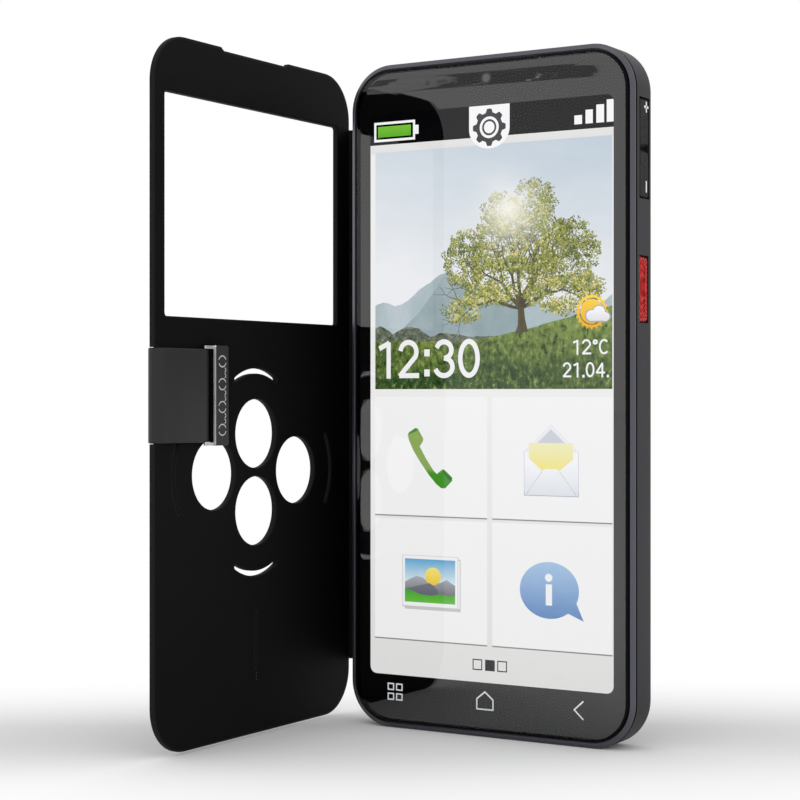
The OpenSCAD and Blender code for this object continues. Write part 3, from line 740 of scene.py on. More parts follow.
far = ridge([(-29, 94.0), (-26.6, 94.9), (-23.5, 94.1), (-20.5, 94.9), (-16.3, 98.0), (-11.8, 100.8),
        (-10.2, 101.2), (-4, 98.5), (6, 95.0), (20, 92.0), (27.5, 93.6), (30, 95.6)], X0, X1,
        90, 0.12, 3)
G_MOUNT = patchy_glow("lit_mountain", [(0.3, (158, 176, 182)), (0.5, (172, 188, 193)),
        (0.7, (190, 202, 206))], 90, 6, (1, 1, 0.6))
pane("mountain", [(X1, Z0), (X0, Z0)] + far, 4, G_MOUNT)
G_SLOPE = patchy_glow("lit_slope", [(0.3, (138, 158, 163)), (0.5, (152, 170, 174)),
        (0.7, (166, 182, 184))], 160, 6, (1, 1, 0.6))
pane("slope", [(-22, Z0), (-22, 88.6), (-17.5, 92.2), (-13.4, 97.0), (-10.4, 101.0), (-6.5, 99.2),
        (0.5, 96.4), (8, 92.5), (8, Z0)], 5, G_SLOPE)
woods = ridge([(-29, 88.9), (-27.6, 89.6), (-25.2, 88.6), (-24.2, 87.8), (-20.6, 89.4), (-17.2, 88.8),
        (-14.4, 87.0), (-12, 87.9), (-4, 87.0), (30, 86.0)], X0, X1, 150, 0.1, 8)
pane("woods", [(X1, Z0), (X0, Z0)] + woods, 6,
     patchy_glow("lit_woods", [(0.34, (58, 66, 52)), (0.52, (104, 112, 96)),
        (0.7, (156, 156, 136))], 700, 5))
field = ridge([(-29, 86.2), (-14, 86.0), (-3.5, 86.1), (6.4, 87.7), (12, 88.9), (20.6, 91.0),
        (30, 93.0)], X0, X1, 160, 0.07, 5)


def field_mat():
    m, nt = new_mat("lit_field")
    up = remap(nt, along(nt, coords(nt), "Z"), 77 * MM, 92 * MM, 0.0, 1.0)
    grass = noise(nt, coords(nt, (1, 1, 0.7)), 900.0, 6.0, 0.75)
    patches = noise(nt, coords(nt, (0.5, 1, 1.6)), 150.0, 3.0, 0.5)
    t = maths(nt, "ADD", up, remap(nt, patches, 0.3, 0.7, -0.3, 0.3))
    base = mix_colour(nt, t, srgb(58, 84, 44), srgb(128, 148, 74))
    dark = mix_colour(nt, remap(nt, grass, 0.36, 0.5, 1.0, 0.0), base, srgb(30, 50, 22))
    col = mix_colour(nt, remap(nt, grass, 0.54, 0.68, 0.0, 0.85), dark, srgb(168, 184, 104))
    show(nt, add(nt, "Emission", {"Color": col}))
    return m


pane("meadow", [(X1, Z0), (X0, Z0)] + field, 7, field_mat())

# tree: a crown built from soft lumps, leafed in tufts, over forking limbs
SUN = (5.2, 114.2)
CROWN = [(11.3, 115.2, 5.4, 5.0), (3.0, 113.6, 3.9, 4.2), (7.7, 107.0, 13.0, 6.2),
        (-5.2, 103.7, 5.4, 6.2),
        (19.4, 104.0, 7.2, 7.6), (6.9, 99.4, 12.9, 4.6), (-6.3, 92.6, 4.4, 2.6), (17.0, 95.4, 7.3, 3.6),
        (0.8, 95.7, 6.5, 2.0), (24.2, 97.2, 3.4, 3.0)]
G_BARK = patchy_glow("lit_bark", [(0.3, (58, 52, 36)), (0.6, (92, 84, 58)), (0.8, (138, 128, 90))],
        900, 5, (1, 1, 0.3))
limbs = []


def limb(x, z, angle, length, w, depth):
    """A branch that forks until it is a twig."""
    pts = [(x, z)]
    a = angle
    for _ in range(3):
        a += rnd.uniform(-0.16, 0.16) + 0.05 * cos(a)
        x += length / 3 * cos(a)
        z += length / 3 * sin(a)
        pts.append((x, z))
    for k, (p, q) in enumerate(zip(pts, pts[1:])):
        limbs.extend(stroke([p, q], w * (1 - 0.12 * k)))
    if depth == 0:
        return
    for k in (-1, 1):
        limb(x, z, a + k * rnd.uniform(0.24, 0.62), length * rnd.uniform(0.66, 0.84), w * 0.62,
             depth - 1)


limbs.append([(6.7, 87.4), (7.5, 89.2), (7.4, 96.0), (8.6, 96.0), (9.2, 90.6), (9.9, 87.8)])
for a0, w0 in ((0.3, 0.9), (0.75, 1.0), (1.2, 0.8), (1.62, 0.9), (2.05, 0.8), (2.5, 0.95), (2.95, 0.7)):
    limb(8.0 + 0.6 * cos(a0), 92.6 + 1.6 * sin(a0), a0, rnd.uniform(5.4, 6.4), w0, 4)
GREENS = [
    ((66, 78, 30), (92, 102, 44), (120, 126, 58)), ((120, 128, 52), (152, 156, 74), (182, 178, 96)),
    ((188, 180, 92), (216, 206, 130), (234, 226, 166)),
]
G_LEAF = [patchy_glow("lit_leaf_%d" % k, [(0.3, g[0]), (0.5, g[1]), (0.75, g[2])], 700, 4)
        for k, g in enumerate(GREENS)]
leaves = [[], [], []]


def leaf(x, z, kind):
    s = rnd.uniform(0.11, 0.24)
    t = rnd.uniform(0, pi)
    c, d = cos(t), sin(t)
    leaves[kind].append([(x + s * 1.5 * c, z + s * 1.5 * d), (x - s * 0.8 * d, z + s * 0.8 * c),
            (x - s * 1.5 * c, z - s * 1.5 * d), (x + s * 0.8 * d, z - s * 0.8 * c)])


for cx, cz, rx, rz in CROWN:
    for _ in range(int(3.7 * rx * rz) + 12):
        a, q = rnd.uniform(0, 2 * pi), sqrt(rnd.random())
        tx, tz = cx + rx * q * cos(a), cz + rz * q * sin(a)
        near = exp(-hypot(tx - SUN[0], tz - SUN[1]) / 5.5)
        low = max(0.0, (103 - tz) / 12)
        tuft = rnd.uniform(-0.42, 0.42) + 0.9 * near + 0.45 * low
        size = rnd.uniform(0.45, 1.15)
        for _ in range(int(19 * size)):
            b, d = rnd.uniform(0, 2 * pi), size * sqrt(rnd.random())
            x, z = tx + 1.2 * d * cos(b), tz + d * sin(b)
            light = tuft + 0.35 * (z - tz) / size + rnd.uniform(-0.3, 0.3)
            leaf(x, z, 2 if light > 0.78 else (1 if light > 0.16 else 0))
half_dark = len(leaves[0]) // 2
panes("leaves_back", leaves[0][:half_dark], 8, G_LEAF[0])
panes("leaves_mid", leaves[1][::2], 9, G_LEAF[1])
panes("branches", limbs, 10, G_BARK)
panes("leaves_dark", leaves[0][half_dark:], 11, G_LEAF[0])
panes("leaves_front", leaves[1][1::2], 12, G_LEAF[1])
panes("leaves_lit", leaves[2], 13, G_LEAF[2])
pane("sun_flare", oval(SUN[0], SUN[1], 12.5, 12.5), 14,
     halo("lit_flare", (SUN[0], Y_GLASS - 0.2, SUN[1]), 12.5, (1.0, 0.99, 0.92, 1), 1.9))

numerals("clock", "12:30", -28.3, -2.0, 78.1, 86.3, 1.12, 16, G_WHITE)
numerals("degrees", "12oC", 20.4, 28.9, 82.8, 85.9, 0.42, 16, G_WHITE)
numerals("date", "21.04.", 18.2, 28.9, 78.0, 81.1, 0.42, 16, G_WHITE)

# weather sign
G_SUN = glow("lit_sun", (244, 170, 30), (255, 214, 70), 88, 95)
G_CLOUD = glow("lit_cloud", (206, 208, 212), (246, 247, 249), 88, 92)
sun_c = (25.0, 91.8)
rays = []
for k in range(20):
    a = 2 * pi * k / 20
    c, d = cos(a), sin(a)
    rays.append([(sun_c[0] + 3.3 * c - 0.36 * d, sun_c[1] + 3.3 * d + 0.36 * c),
            (sun_c[0] + 3.3 * c + 0.36 * d, sun_c[1] + 3.3 * d - 0.36 * c),
            (sun_c[0] + 3.95 * c, sun_c[1] + 3.95 * d)])
ring = stroke(sweep_arc(sun_c[0], sun_c[1], 3.15, 3.15, 0, 360, 40), 0.5)
panes("sun_sign", rays + ring + [oval(sun_c[0], sun_c[1], 2.6, 2.6)], 16, G_SUN)
cloud = [oval(25.0, 90.9, 1.25, 1.15), oval(26.7, 91.6, 1.35, 1.3), oval(28.1, 90.6, 1.05, 0.95),
        quad(24.6, 28.1, 89.75, 90.9)]
G_CLOUD_RIM = glow("lit_cloud_rim", (150, 156, 160), (176, 182, 186), 88, 93)
panes("cloud_rim", [oval(24.95, 90.9, 1.5, 1.4), oval(26.7, 91.6, 1.6, 1.55), oval(28.1, 90.6, 1.3, 1.2),
        quad(24.6, 28.1, 89.5, 90.9)], 17, G_CLOUD_RIM)
panes("cloud_sign", cloud, 18, G_CLOUD)

# status signs
panes("battery_sign", frame_strips(-29.0, -18.3, 130.9, 135.3,
        0.55) + [quad(-18.3, -17.4, 132.1, 134.1)], 4, G_WHITE)
pane("battery_level", quad(-28.0, -19.4, 131.9, 134.3), 4, G_GREEN)
panes("signal_sign", [quad(20.9, 22.7, 131.3, 133.2), quad(23.5, 25.2, 131.3, 134.2),
        quad(26.0, 27.8, 131.3, 135.1), quad(28.4, 30.0, 131.3, 136.0)], 4, G_WHITE)
tab = [(-4.5, 137.0), (5.5, 137.0), (5.5, 131.9)]
tab += [(0.5 + 5.0 * cos(a), 131.9 + 4.3 * sin(a))
        for a in [radians(-6 - 168 * i / 16) for i in range(17)]]
tab += [(-4.5, 131.9)]
pane("menu_tab", tab, 15, G_WHITE)
GEAR_X, GEAR_Z, GEAR_N, TEETH = 0.5, 132.2, 96, 8
HUB, GROOVE, BORE = 2.35, 1.75, 1.3


def around(r, i):
    a = 2 * pi * (i % GEAR_N) / GEAR_N
    return GEAR_X + r * cos(a), GEAR_Z + r * sin(a)


def tooth(i):
    wave = cos(TEETH * 2 * pi * (i % GEAR_N) / GEAR_N)
    return 4.05 if wave > 0.25 else (3.25 if wave < -0.05 else 3.65)


gear = []
for i in range(GEAR_N):
    k = i + 1
    gear.append([around(tooth(i), i), around(tooth(k), k), around(HUB, k), around(HUB, i)])
    gear.append([around(GROOVE, i), around(GROOVE, k), around(BORE, k), around(BORE, i)])
panes("gear", gear, 16, G_DARK)

# four tiles
tile_x, tile_z = ((-28.8, -0.1), (1.15, 29.7)), ((47.5, 73.8), (19.95, 46.6))
panes("tiles", [quad(*tx, *tz) for tx in tile_x for tz in tile_z], 2, G_TILE)
panes("tile_lines", [quad(*tx, tz[0] - 0.28, tz[0]) for tx in tile_x for tz in tile_z], 2, G_SHADOW)

# telephone sign: a bent bar with two ends
G_CALL = glow("lit_call", (66, 146, 40), (142, 170, 92), 56.9, 58.1)
G_CALL_END = glow("lit_call_end", (44, 108, 32), (74, 140, 48), 55, 66)
pane("call_bar", [(-20.2, 65.4), (-19.9, 64.2), (-18.8, 62.0), (-17.0, 59.4), (-14.7, 56.5),
        (-12.9, 54.6),
        (-11.6, 53.7), (-10.6, 53.7), (-8.8, 55.4), (-8.8, 56.1), (-10.9, 57.9), (-11.4, 57.8),
        (-12.7, 56.8), (-13.6, 57.6), (-15.5, 60.2), (-17.1, 62.8), (-16.2, 64.1), (-16.2, 64.6),
        (-17.6, 66.8), (-18.3, 66.9), (-19.9, 65.9)], 5, G_CALL)
panes("call_ends", [[(-11.4, 57.4), (-10.9, 57.7), (-8.9, 55.9), (-9.5, 55.4)],
        [(-20.1, 65.4), (-19.8, 65.9), (-18.3, 66.8), (-17.6, 66.7), (-17.9, 66.2)]], 6, G_CALL_END)

# letter sign
G_PAPER = glow("lit_paper", (224, 227, 233), (246, 247, 249), 52.8, 60)
G_FLAP = glow("lit_flap", (204, 207, 214), (236, 238, 242), 58, 63)
G_NOTE = glow("lit_note", (242, 230, 130), (240, 238, 196), 58, 64)
G_CREASE = glow("lit_crease", (168, 173, 184), (206, 210, 218), 52.8, 54)
pane("letter_back", [(9.0, 62.2), (15.4, 68.0), (21.9, 62.2)], 4, G_FLAP)
pane("letter_inside", [(11.2, 63.2), (15.4, 66.9), (19.6, 63.2)], 5, G_CREASE)
pane("letter_note", quad(10.1, 20.6, 57.5, 64.0), 6, G_NOTE)
pane("letter_body", [(9.0, 52.8), (21.9, 52.8), (21.9, 62.3), (20.6, 60.6), (17.4, 58.1), (16.7, 58.5),
        (14.1, 58.5), (13.3, 58.1), (10.1, 60.6), (9.0, 62.3)], 7, G_PAPER)
panes("letter_folds", stroke([(13.3, 58.0), (9.6, 53.1)],
        0.16) + stroke([(17.4, 58.0), (21.3, 53.1)], 0.16)
      + stroke([(9.0, 62.2), (9.0, 52.75), (21.9, 52.75), (21.9, 62.2)], 0.16), 8, G_CREASE)

# picture sign
G_PSKY = glow("lit_psky", (206, 226, 236), (88, 162, 206), 33, 38)
G_PSUN = glow("lit_psun", (234, 196, 62), (244, 226, 120), 32, 36)
G_PRIDGE = glow("lit_pridge", (108, 110, 118), (170, 173, 178), 30, 34)
G_PROCK = glow("lit_prock", (92, 94, 104), (120, 122, 132), 29, 33)
G_PHILL = glow("lit_phill", (102, 190, 66), (74, 160, 56), 28, 31)
panes("photo_stack", frame_strips(-21.0, -6.7, 26.7, 38.2, 0.25) + [quad(-20.9, -6.8, 26.8, 27.4)],
      3, G_LINE)
pane("photo_rim", quad(-21.6, -7.3, 27.2, 38.7), 4, G_LINE)
pane("photo_mat", quad(-21.45, -7.45, 27.45, 38.6), 5, G_WHITE)
pane("photo_sky", quad(-20.9, -8.05, 28.3, 37.9), 6, G_PSKY)
pane("photo_ridge", [(-20.9, 30.0), (-8.05, 30.0), (-8.05, 32.4), (-9.4, 33.1), (-10.2, 33.6),
        (-11.9, 32.8), (-15.2, 33.2), (-16.6, 33.9), (-18.0, 34.1), (-19.6, 33.4), (-20.9, 32.7)], 7,
        G_PRIDGE)
pane("photo_sun", oval(-13.7, 34.2, 2.05, 1.95), 8, G_PSUN)
pane("photo_slope", [(-13.9, 29.5), (-8.05, 29.5), (-8.05, 32.3), (-9.4, 32.9), (-11.4, 32.7),
        (-13.1, 32.2), (-13.7, 31.8)], 9, G_PRIDGE)
pane("photo_rock", [(-20.9, 29.5), (-12.2, 29.5), (-12.5, 31.2), (-13.6, 32.2), (-14.6, 32.7),
        (-17.4, 32.0), (-20.9, 31.2)], 10, G_PROCK)
pane("photo_hills", [(-8.05, 28.3), (-20.9, 28.3), (-20.9, 31.2), (-19.2, 30.9), (-17.0, 30.1),
        (-14.2, 29.9), (-12.0, 30.3), (-9.6, 30.0), (-8.05, 30.4)], 11, G_PHILL)

# speech sign with a letter i
G_INFO = glow("lit_info", (100, 138, 190), (168, 198, 228), 27, 39)
panes("info_bubble", [oval(14.95, 32.65, 7.05, 6.05), [(18.6, 28.3), (23.1, 26.5), (21.3, 30.4)]],
      5, G_INFO)
panes("info_mark", [oval(14.85, 35.35, 0.88, 0.85), quad(14.15, 15.65, 29.45, 33.95)], 6, G_WHITE)

# page marks
panes("page_marks", frame_strips(-3.7, -1.3, 14.4, 16.8, 0.25) + [quad(-0.6, 1.8, 14.4, 16.8)]
      + frame_strips(2.4, 4.8, 14.4, 16.8, 0.25), 4, G_DARK)

# printed touch signs below the picture
G_NAV = glow("lit_nav", (190, 192, 196), (214, 216, 220), 5, 10)
nav = []
for ix in (-25.4, -23.2):
    for iz in (6.1, 8.3):
        nav += frame_strips(ix, ix + 1.7, iz, iz + 1.6, 0.28)
home = [(-2.6, 6.0), (-2.6, 8.2), (-0.6, 9.8), (1.4, 8.2), (1.4, 6.0)]


nav += stroke(home, 0.32, True)
nav += stroke([(23.0, 9.7), (20.9, 7.8), (23.0, 5.9)], 0.32)
panes("touch_signs", nav, 12, G_NAV)

# front camera and sensor under the glass
M_LENS = surface("lens_black", (10, 11, 14), 0.08, spec=0.8, var=0.2, grain=600, bump=0.0, coat=1.0)
M_LENS_RIM = surface("lens_rim", (40, 41, 46), 0.3, metal=0.5, var=0.1, grain=1800, bump=0.05)
lens = rod_obj("front_lens", "Y", (-0.4, Y_GLASS + 0.06, 143), 0.85, 0.05, M_LENS)
rim = rod_obj("front_lens_rim", "Y", (-0.4, Y_GLASS + 0.1, 143), 1.3, 0.05, M_LENS_RIM)
for o in (lens, rim):
    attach(o, HAND)
# painted glow: the sensor windows are drawn as faint emission, not lit by the lamps
G_SENSOR_GLOW = glow("sensor_mark", (34, 34, 38), (52, 52, 58), 142, 144)
panes("sensor_marks", [oval(-15.1, 143.1, 0.5, 0.5), quad(-12.8, -10.0, 142.8, 143.5),
        oval(-8.2, 143.2, 0.7, 0.7)], 12, G_SENSOR_GLOW)

# ---------------------------------------------------------------- cover
CY0, CZ0 = SKIN_LO[1], SKIN_LO[2]
CW, CH = SKIN_HI[1] - SKIN_LO[1], SKIN_HI[2] - SKIN_LO[2]
CX0, CX1 = SKIN_LO[0], LINE_HI[0]
CMID = (CX0 + CX1) / 2
PAD_S, PAD_H = 35.3, 57.4 - CZ0
TUCK = [c / MM for c in JOINTS["strap_fold"]["pos_m"]]
RECESS = TUCK[1] - CY0 - (CX1 - CX0) / 2


def crescent(r, a, t, e, n=14):
    """A curved slot about a far centre, with round ends."""
    out = []
    for sign in (1, -1):
        for i in range(-n, n + 1):
            k = sign * i / n
            w = t + (e - t) * k * k
            rad = r + sign * w / 2
            out.append((rad * cos(radians(a * k)) - r, rad * sin(radians(a * k))))
        end = radians(a * sign)
        for m in (1, 2, 3):
            turn = end + radians(45 * m)
            out.append((r * cos(end) - r + e / 2 * cos(turn) if sign > 0 else
                    r * cos(end) - r - e / 2 * cos(turn),
                    r * sin(end) + (e / 2 * sin(turn) if sign > 0 else -e / 2 * sin(turn))))
    return out


def turned(pts, angle, cx, cy):
    c, s = cos(radians(angle)), sin(radians(angle))
    return [(cx + x * c - y * s, cy + x * s + y * c) for x, y in pts]


def area(loop):
    return sum(a[0] * b[1] - b[0] * a[1] for a, b in zip(loop, loop[1:] + loop[:1])) / 2


def clockwise(loop):
    return loop if area(loop) < 0 else loop[::-1]


def cover_outline(inset):
    """Cover outline with the shallow top notch and the strap's recess in the free edge."""
    pts = rounded(CW - 2 * inset, CH - 2 * inset, 10 - inset, 16, CW / 2, CH / 2)
    top, out = CH - inset, []
    z0, z1 = FLAP_LO[2] - CZ0 - 0.1 - inset, FLAP_HI[2] - CZ0 + 0.1 + inset
    deep = RECESS + inset
    for p, q in zip(pts, pts[1:] + pts[:1]):
        out.append(p)
        if abs(p[1] - top) < 1e-6 and abs(q[1] - top) < 1e-6 and p[0] - q[0] > 20:
            a, b = PAD_S + 12 - inset, PAD_S - 12 + inset
            out += [(a + 0.6, top), (a + 0.25, top - 0.12), (a, top - 0.7), (b, top - 0.7),
                    (b - 0.25, top - 0.12), (b - 0.6, top)]
        if abs(p[0] - inset) < 1e-6 and abs(q[0] - inset) < 1e-6 and p[1] - q[1] > 20:
            out += [(inset, z1), (deep, z1), (deep, z0), (inset, z0)]
    return out


WIN_S, WIN_Z, WIN_W, WIN_H = 3.55, 90.4, 63.9, 45.9
HOLE_DS, HOLE_DH, HOLE_R = 15.15, 8.42, 7.5
ARC_R, ARC_HALF, ARC_DS, ARC_DH, ARC_T, ARC_END = 15.5, 28.6, 29.05, 22.05, 1.1, 0.95
SLIT_Z, SLIT_W, SLIT_H = 14.7, 0.9, 12.4


def cover_holes(grow=0.0):
    """Window, four touch holes, four crescents and the upright slit, each widened by grow."""
    wide = 2 * grow
    holes = [rounded(WIN_W + wide, WIN_H + wide, 0.7 + grow, 5, WIN_S + WIN_W / 2,
            WIN_Z - CZ0 + WIN_H / 2)]
    for k in (-1, 1):
        holes.append(oval(PAD_S + k * HOLE_DS, PAD_H, HOLE_R + grow, HOLE_R + grow, 72))
        holes.append(oval(PAD_S, PAD_H + k * HOLE_DH, HOLE_R + grow, HOLE_R + grow, 72))
        arc = crescent(ARC_R, ARC_HALF, ARC_T + wide, ARC_END + wide)
        holes.append(turned(arc, 0 if k > 0 else 180, PAD_S + k * ARC_DS, PAD_H))
        holes.append(turned(arc, 90 * k, PAD_S, PAD_H + k * ARC_DH))
    holes.append(rounded(SLIT_W + wide, SLIT_H + wide, 0.42 + grow, 5, PAD_S, SLIT_Z - CZ0 + SLIT_H / 2))
    return [clockwise(h) for h in holes]


def on_cover(s, h, d):
    return (d, CY0 + s, CZ0 + h)


skin_profile = [(0.5, CX1 - 0.05), (0.14, CX1 - 0.05), (0.05, CX1 - 0.09), (0.0, CX1 - 0.2), (0.0, CMID),
        (0.0, CX0 + 0.2), (0.05, CX0 + 0.06), (0.16, CX0), (0.6, CX0)]
skin = holed_plate("cover_outer", cover_outline(0.0), cover_holes(0.0), skin_profile, on_cover,
        M_LEATHER, None)
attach(skin, "cover")
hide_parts("cover_skin", "cover_board")
lin = holed_plate("cover_inner", cover_outline(0.45), cover_holes(0.3),
        [(0.2, CX1), (0.08, CX1), (0.0, CX1 - 0.04), (0.0, CX1 - 0.2)], on_cover, M_LINING, None)
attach(lin, "cover")
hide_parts("cover_lining")

# stamped dots below the upright slot
dots = []
for z in (13.6, 12.9, 12.2):
    d = rod_obj("cover_dot_%d" % len(dots), "X", (CX1, CY0 + PAD_S, z), 0.22, 0.03, M_RIM, 20)
    dots.append(d)
    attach(d, "cover")

# ---------------------------------------------------------------- spine band
FOLD = [c / MM for c in JOINTS["spine_fold"]["pos_m"]]
FOLD2 = [c / MM for c in JOINTS["cover_fold"]["pos_m"]]
SZ0, SZ1 = SPINE_LO[2], SPINE_HI[2]
y_band = FOLD2[1]
split_x = (FOLD[0] + FOLD2[0]) / 2


path_a = [(FOLD[0] + 2.6, Y_BACK - 0.12), (FOLD[0] + 1.2, Y_BACK + 0.12), (FOLD[0] + 0.3, Y_BACK + 0.75),
        (FOLD[0] - 0.5, y_band - 0.75), (FOLD[0] - 1.4, y_band - 0.15), (FOLD[0] - 2.6, y_band),
        (split_x + 1.5, y_band), (split_x, y_band)]
band_a = sweep("spine_leather_a", path_a, SZ0, SZ1, 0.9, M_LEATHER, 0.25)
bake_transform(band_a)
path_b = [(split_x, y_band), (split_x - 1.5, y_band), (FOLD2[0] + 1.6, y_band),
        (FOLD2[0] + 0.7, y_band - 0.05),
        (FOLD2[0] + 0.1, y_band - 0.45), (FOLD2[0] - 0.02, y_band - 1.0),
        (FOLD2[0] - 0.02, y_band - 2.2)]
band_b = sweep("spine_leather_b", path_b, SZ0, SZ1, 0.9, M_LEATHER, 0.25)
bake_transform(band_b)
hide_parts("spine_skin")
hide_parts("spine_lining")

# ---------------------------------------------------------------- strap and clip
bend_r = 1.5
flap_x = TUCK[0] + bend_r
path_s = [(TUCK[0] - bend_r + 0.25, ROOT_HI[1]), (TUCK[0] - bend_r + 0.2, TUCK[1] + 14),
        (TUCK[0] - bend_r, TUCK[1] + 6), (TUCK[0] - bend_r, TUCK[1] + 1.5)]
for k in range(0, 13):
    a = radians(180 + 15 * k)
    path_s.append((TUCK[0] + bend_r * cos(a), TUCK[1] + bend_r * sin(a)))
path_s += [(flap_x + 0.05, TUCK[1] + 1.2), (flap_x + 0.3, TUCK[1] + 4), (flap_x + 0.36, TUCK[1] + 7),
        (flap_x + 0.15, CLIP_LO[1] + 0.6), (flap_x - 0.1, CLIP_LO[1] + 3), (flap_x - 0.1, FLAP_HI[1])]
strap = sweep("closing_strap", path_s, FLAP_LO[2], FLAP_HI[2], 0.84, M_STRAP, 0.3)
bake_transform(strap)
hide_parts("strap_root", "strap_flap")

cz0, cz1 = CLIP_LO[2], CLIP_HI[2]
cy0, cy1 = CLIP_LO[1], CLIP_HI[1]
cxb, cxf = CLIP_LO[0], CLIP_HI[0]
bevel_y0, bevel_y1 = cy0 + 2.45, cy0 + 2.7
cmz = (cz0 + cz1) / 2


def clip_slab(name, section, z0, z1, mat, r=0.25):
    """An upright bar of the clip from its (y, x) section."""
    rings = []
    for z, k in ((z0, r), (z0 + r, 0.0), (z1 - r, 0.0), (z1, r)):
        cyc = sum(p[0] for p in section) / len(section)
        cxc = sum(p[1] for p in section) / len(section)
        ring = []
        for y, x in section:
            d = hypot(y - cyc, x - cxc)
            f = 1 - min(0.5, k * 0.6 / max(d, 0.1))
            ring.append((cxc + (x - cxc) * f, cyc + (y - cyc) * f, z))
        rings.append(ring)
    return loft(name, rings, mat, "strap", angle=30)


plate_sec = [(bevel_y1, cxf), (bevel_y1 + 0.1, cxf + 0.02), (cy1 - 0.5, cxf - 0.1),
        (cy1 - 0.1, cxf - 0.3),
        (cy1, cxf - 0.7), (cy1, cxb + 0.5), (cy1 - 0.3, cxb + 0.35), (bevel_y0 + 0.4, cxb + 0.35),
        (bevel_y0, cxb + 0.6), (bevel_y0, cxf - 0.75)]
bar = clip_slab("clip_bar", plate_sec, cz0, cz1, M_CLIP_DARK)
bar.data.materials.append(M_CLIP)
for p in bar.data.polygons:
    c = p.center / MM
    if c.y < bevel_y1 + 0.02 and c.x > cxb + 0.6:
        p.material_index = 1
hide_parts("strap_clip", "strap_magnet")
for k, (z0, z1) in enumerate(((cz0 + 0.05, FLAP_LO[2] - 0.08), (FLAP_HI[2] + 0.08, cz1 - 0.05))):
    hook = clip_slab("clip_hook_%d" % k,
            [(cy0, cxf - 0.9), (cy0 + 0.3, cxf - 0.75), (bevel_y0 + 0.1, cxf - 0.5),
            (bevel_y0 + 0.1, cxb + 0.5), (cy0 + 0.3, cxb + 0.5),
            (cy0, cxb + 0.7)], z0, z1, M_CLIP, 0.12)

# a dark box as painted shadow inside the slot the strap's end dives into
slot_shadow_box = box_obj("clip_slot_shadow", cxb + 0.6, cxf - 0.55, bevel_y0 - 0.95, bevel_y0 + 0.02,
        FLAP_LO[2] + 0.02, FLAP_HI[2] - 0.02, M_BLACK, "strap", 0.05)

# a plain engraved run of rings and dashes, evenly spaced
relief = []


def band_mark(cy, cz, ry, rz, a0, a1, w, n=14):
    pts = []
    for side in (1, -1):
        for k in range(n + 1):
            a = radians(a0 + (a1 - a0) * (k if side > 0 else n - k) / n)
            pts.append((cy + (ry + side * w / 2) * cos(a), cz + (rz + side * w / 2) * sin(a)))
    relief.append(pts)


mark_y0 = (bevel_y1 + cy1) / 2 - 0.2
for z in (-7.2, -2.4, 2.4, 7.2):
    band_mark(mark_y0, cmz + z, 1.35, 1.15, 20, 165, 0.24)
    band_mark(mark_y0, cmz + z, 1.35, 1.15, 200, 345, 0.24)
for z in (-4.8, 0.0, 4.8):
    for k in (-0.6, 0.6):
        band_mark(mark_y0 + 0.75, cmz + z + k, 0.5, 0.45, -80, 80, 0.22)
rv, rf = [], []
for pts in relief:
    b = len(rv)
    rv += [(cxf + 0.06 - 0.036 * (y - bevel_y1), y, z) for y, z in pts]
    n = len(pts)
    h = n // 2
    for k in range(h - 1):
        rf.append((b + k, b + k + 1, b + n - 2 - k, b + n - 1 - k))
engraving = make("clip_engraving", rv, rf, M_ENGRAVE, "strap", smooth=False)

# ---------------------------------------------------------------- carried-over nodes
def inner(name, colour, rough, metal=0.0, var=0.1, grain=1500, bump=0.1, **more):
    """A finish for a CAD node that stays visible, or shows when the part is opened."""
    return surface(name, colour, rough, metal, var=var, grain=grain, bump=bump, **more)


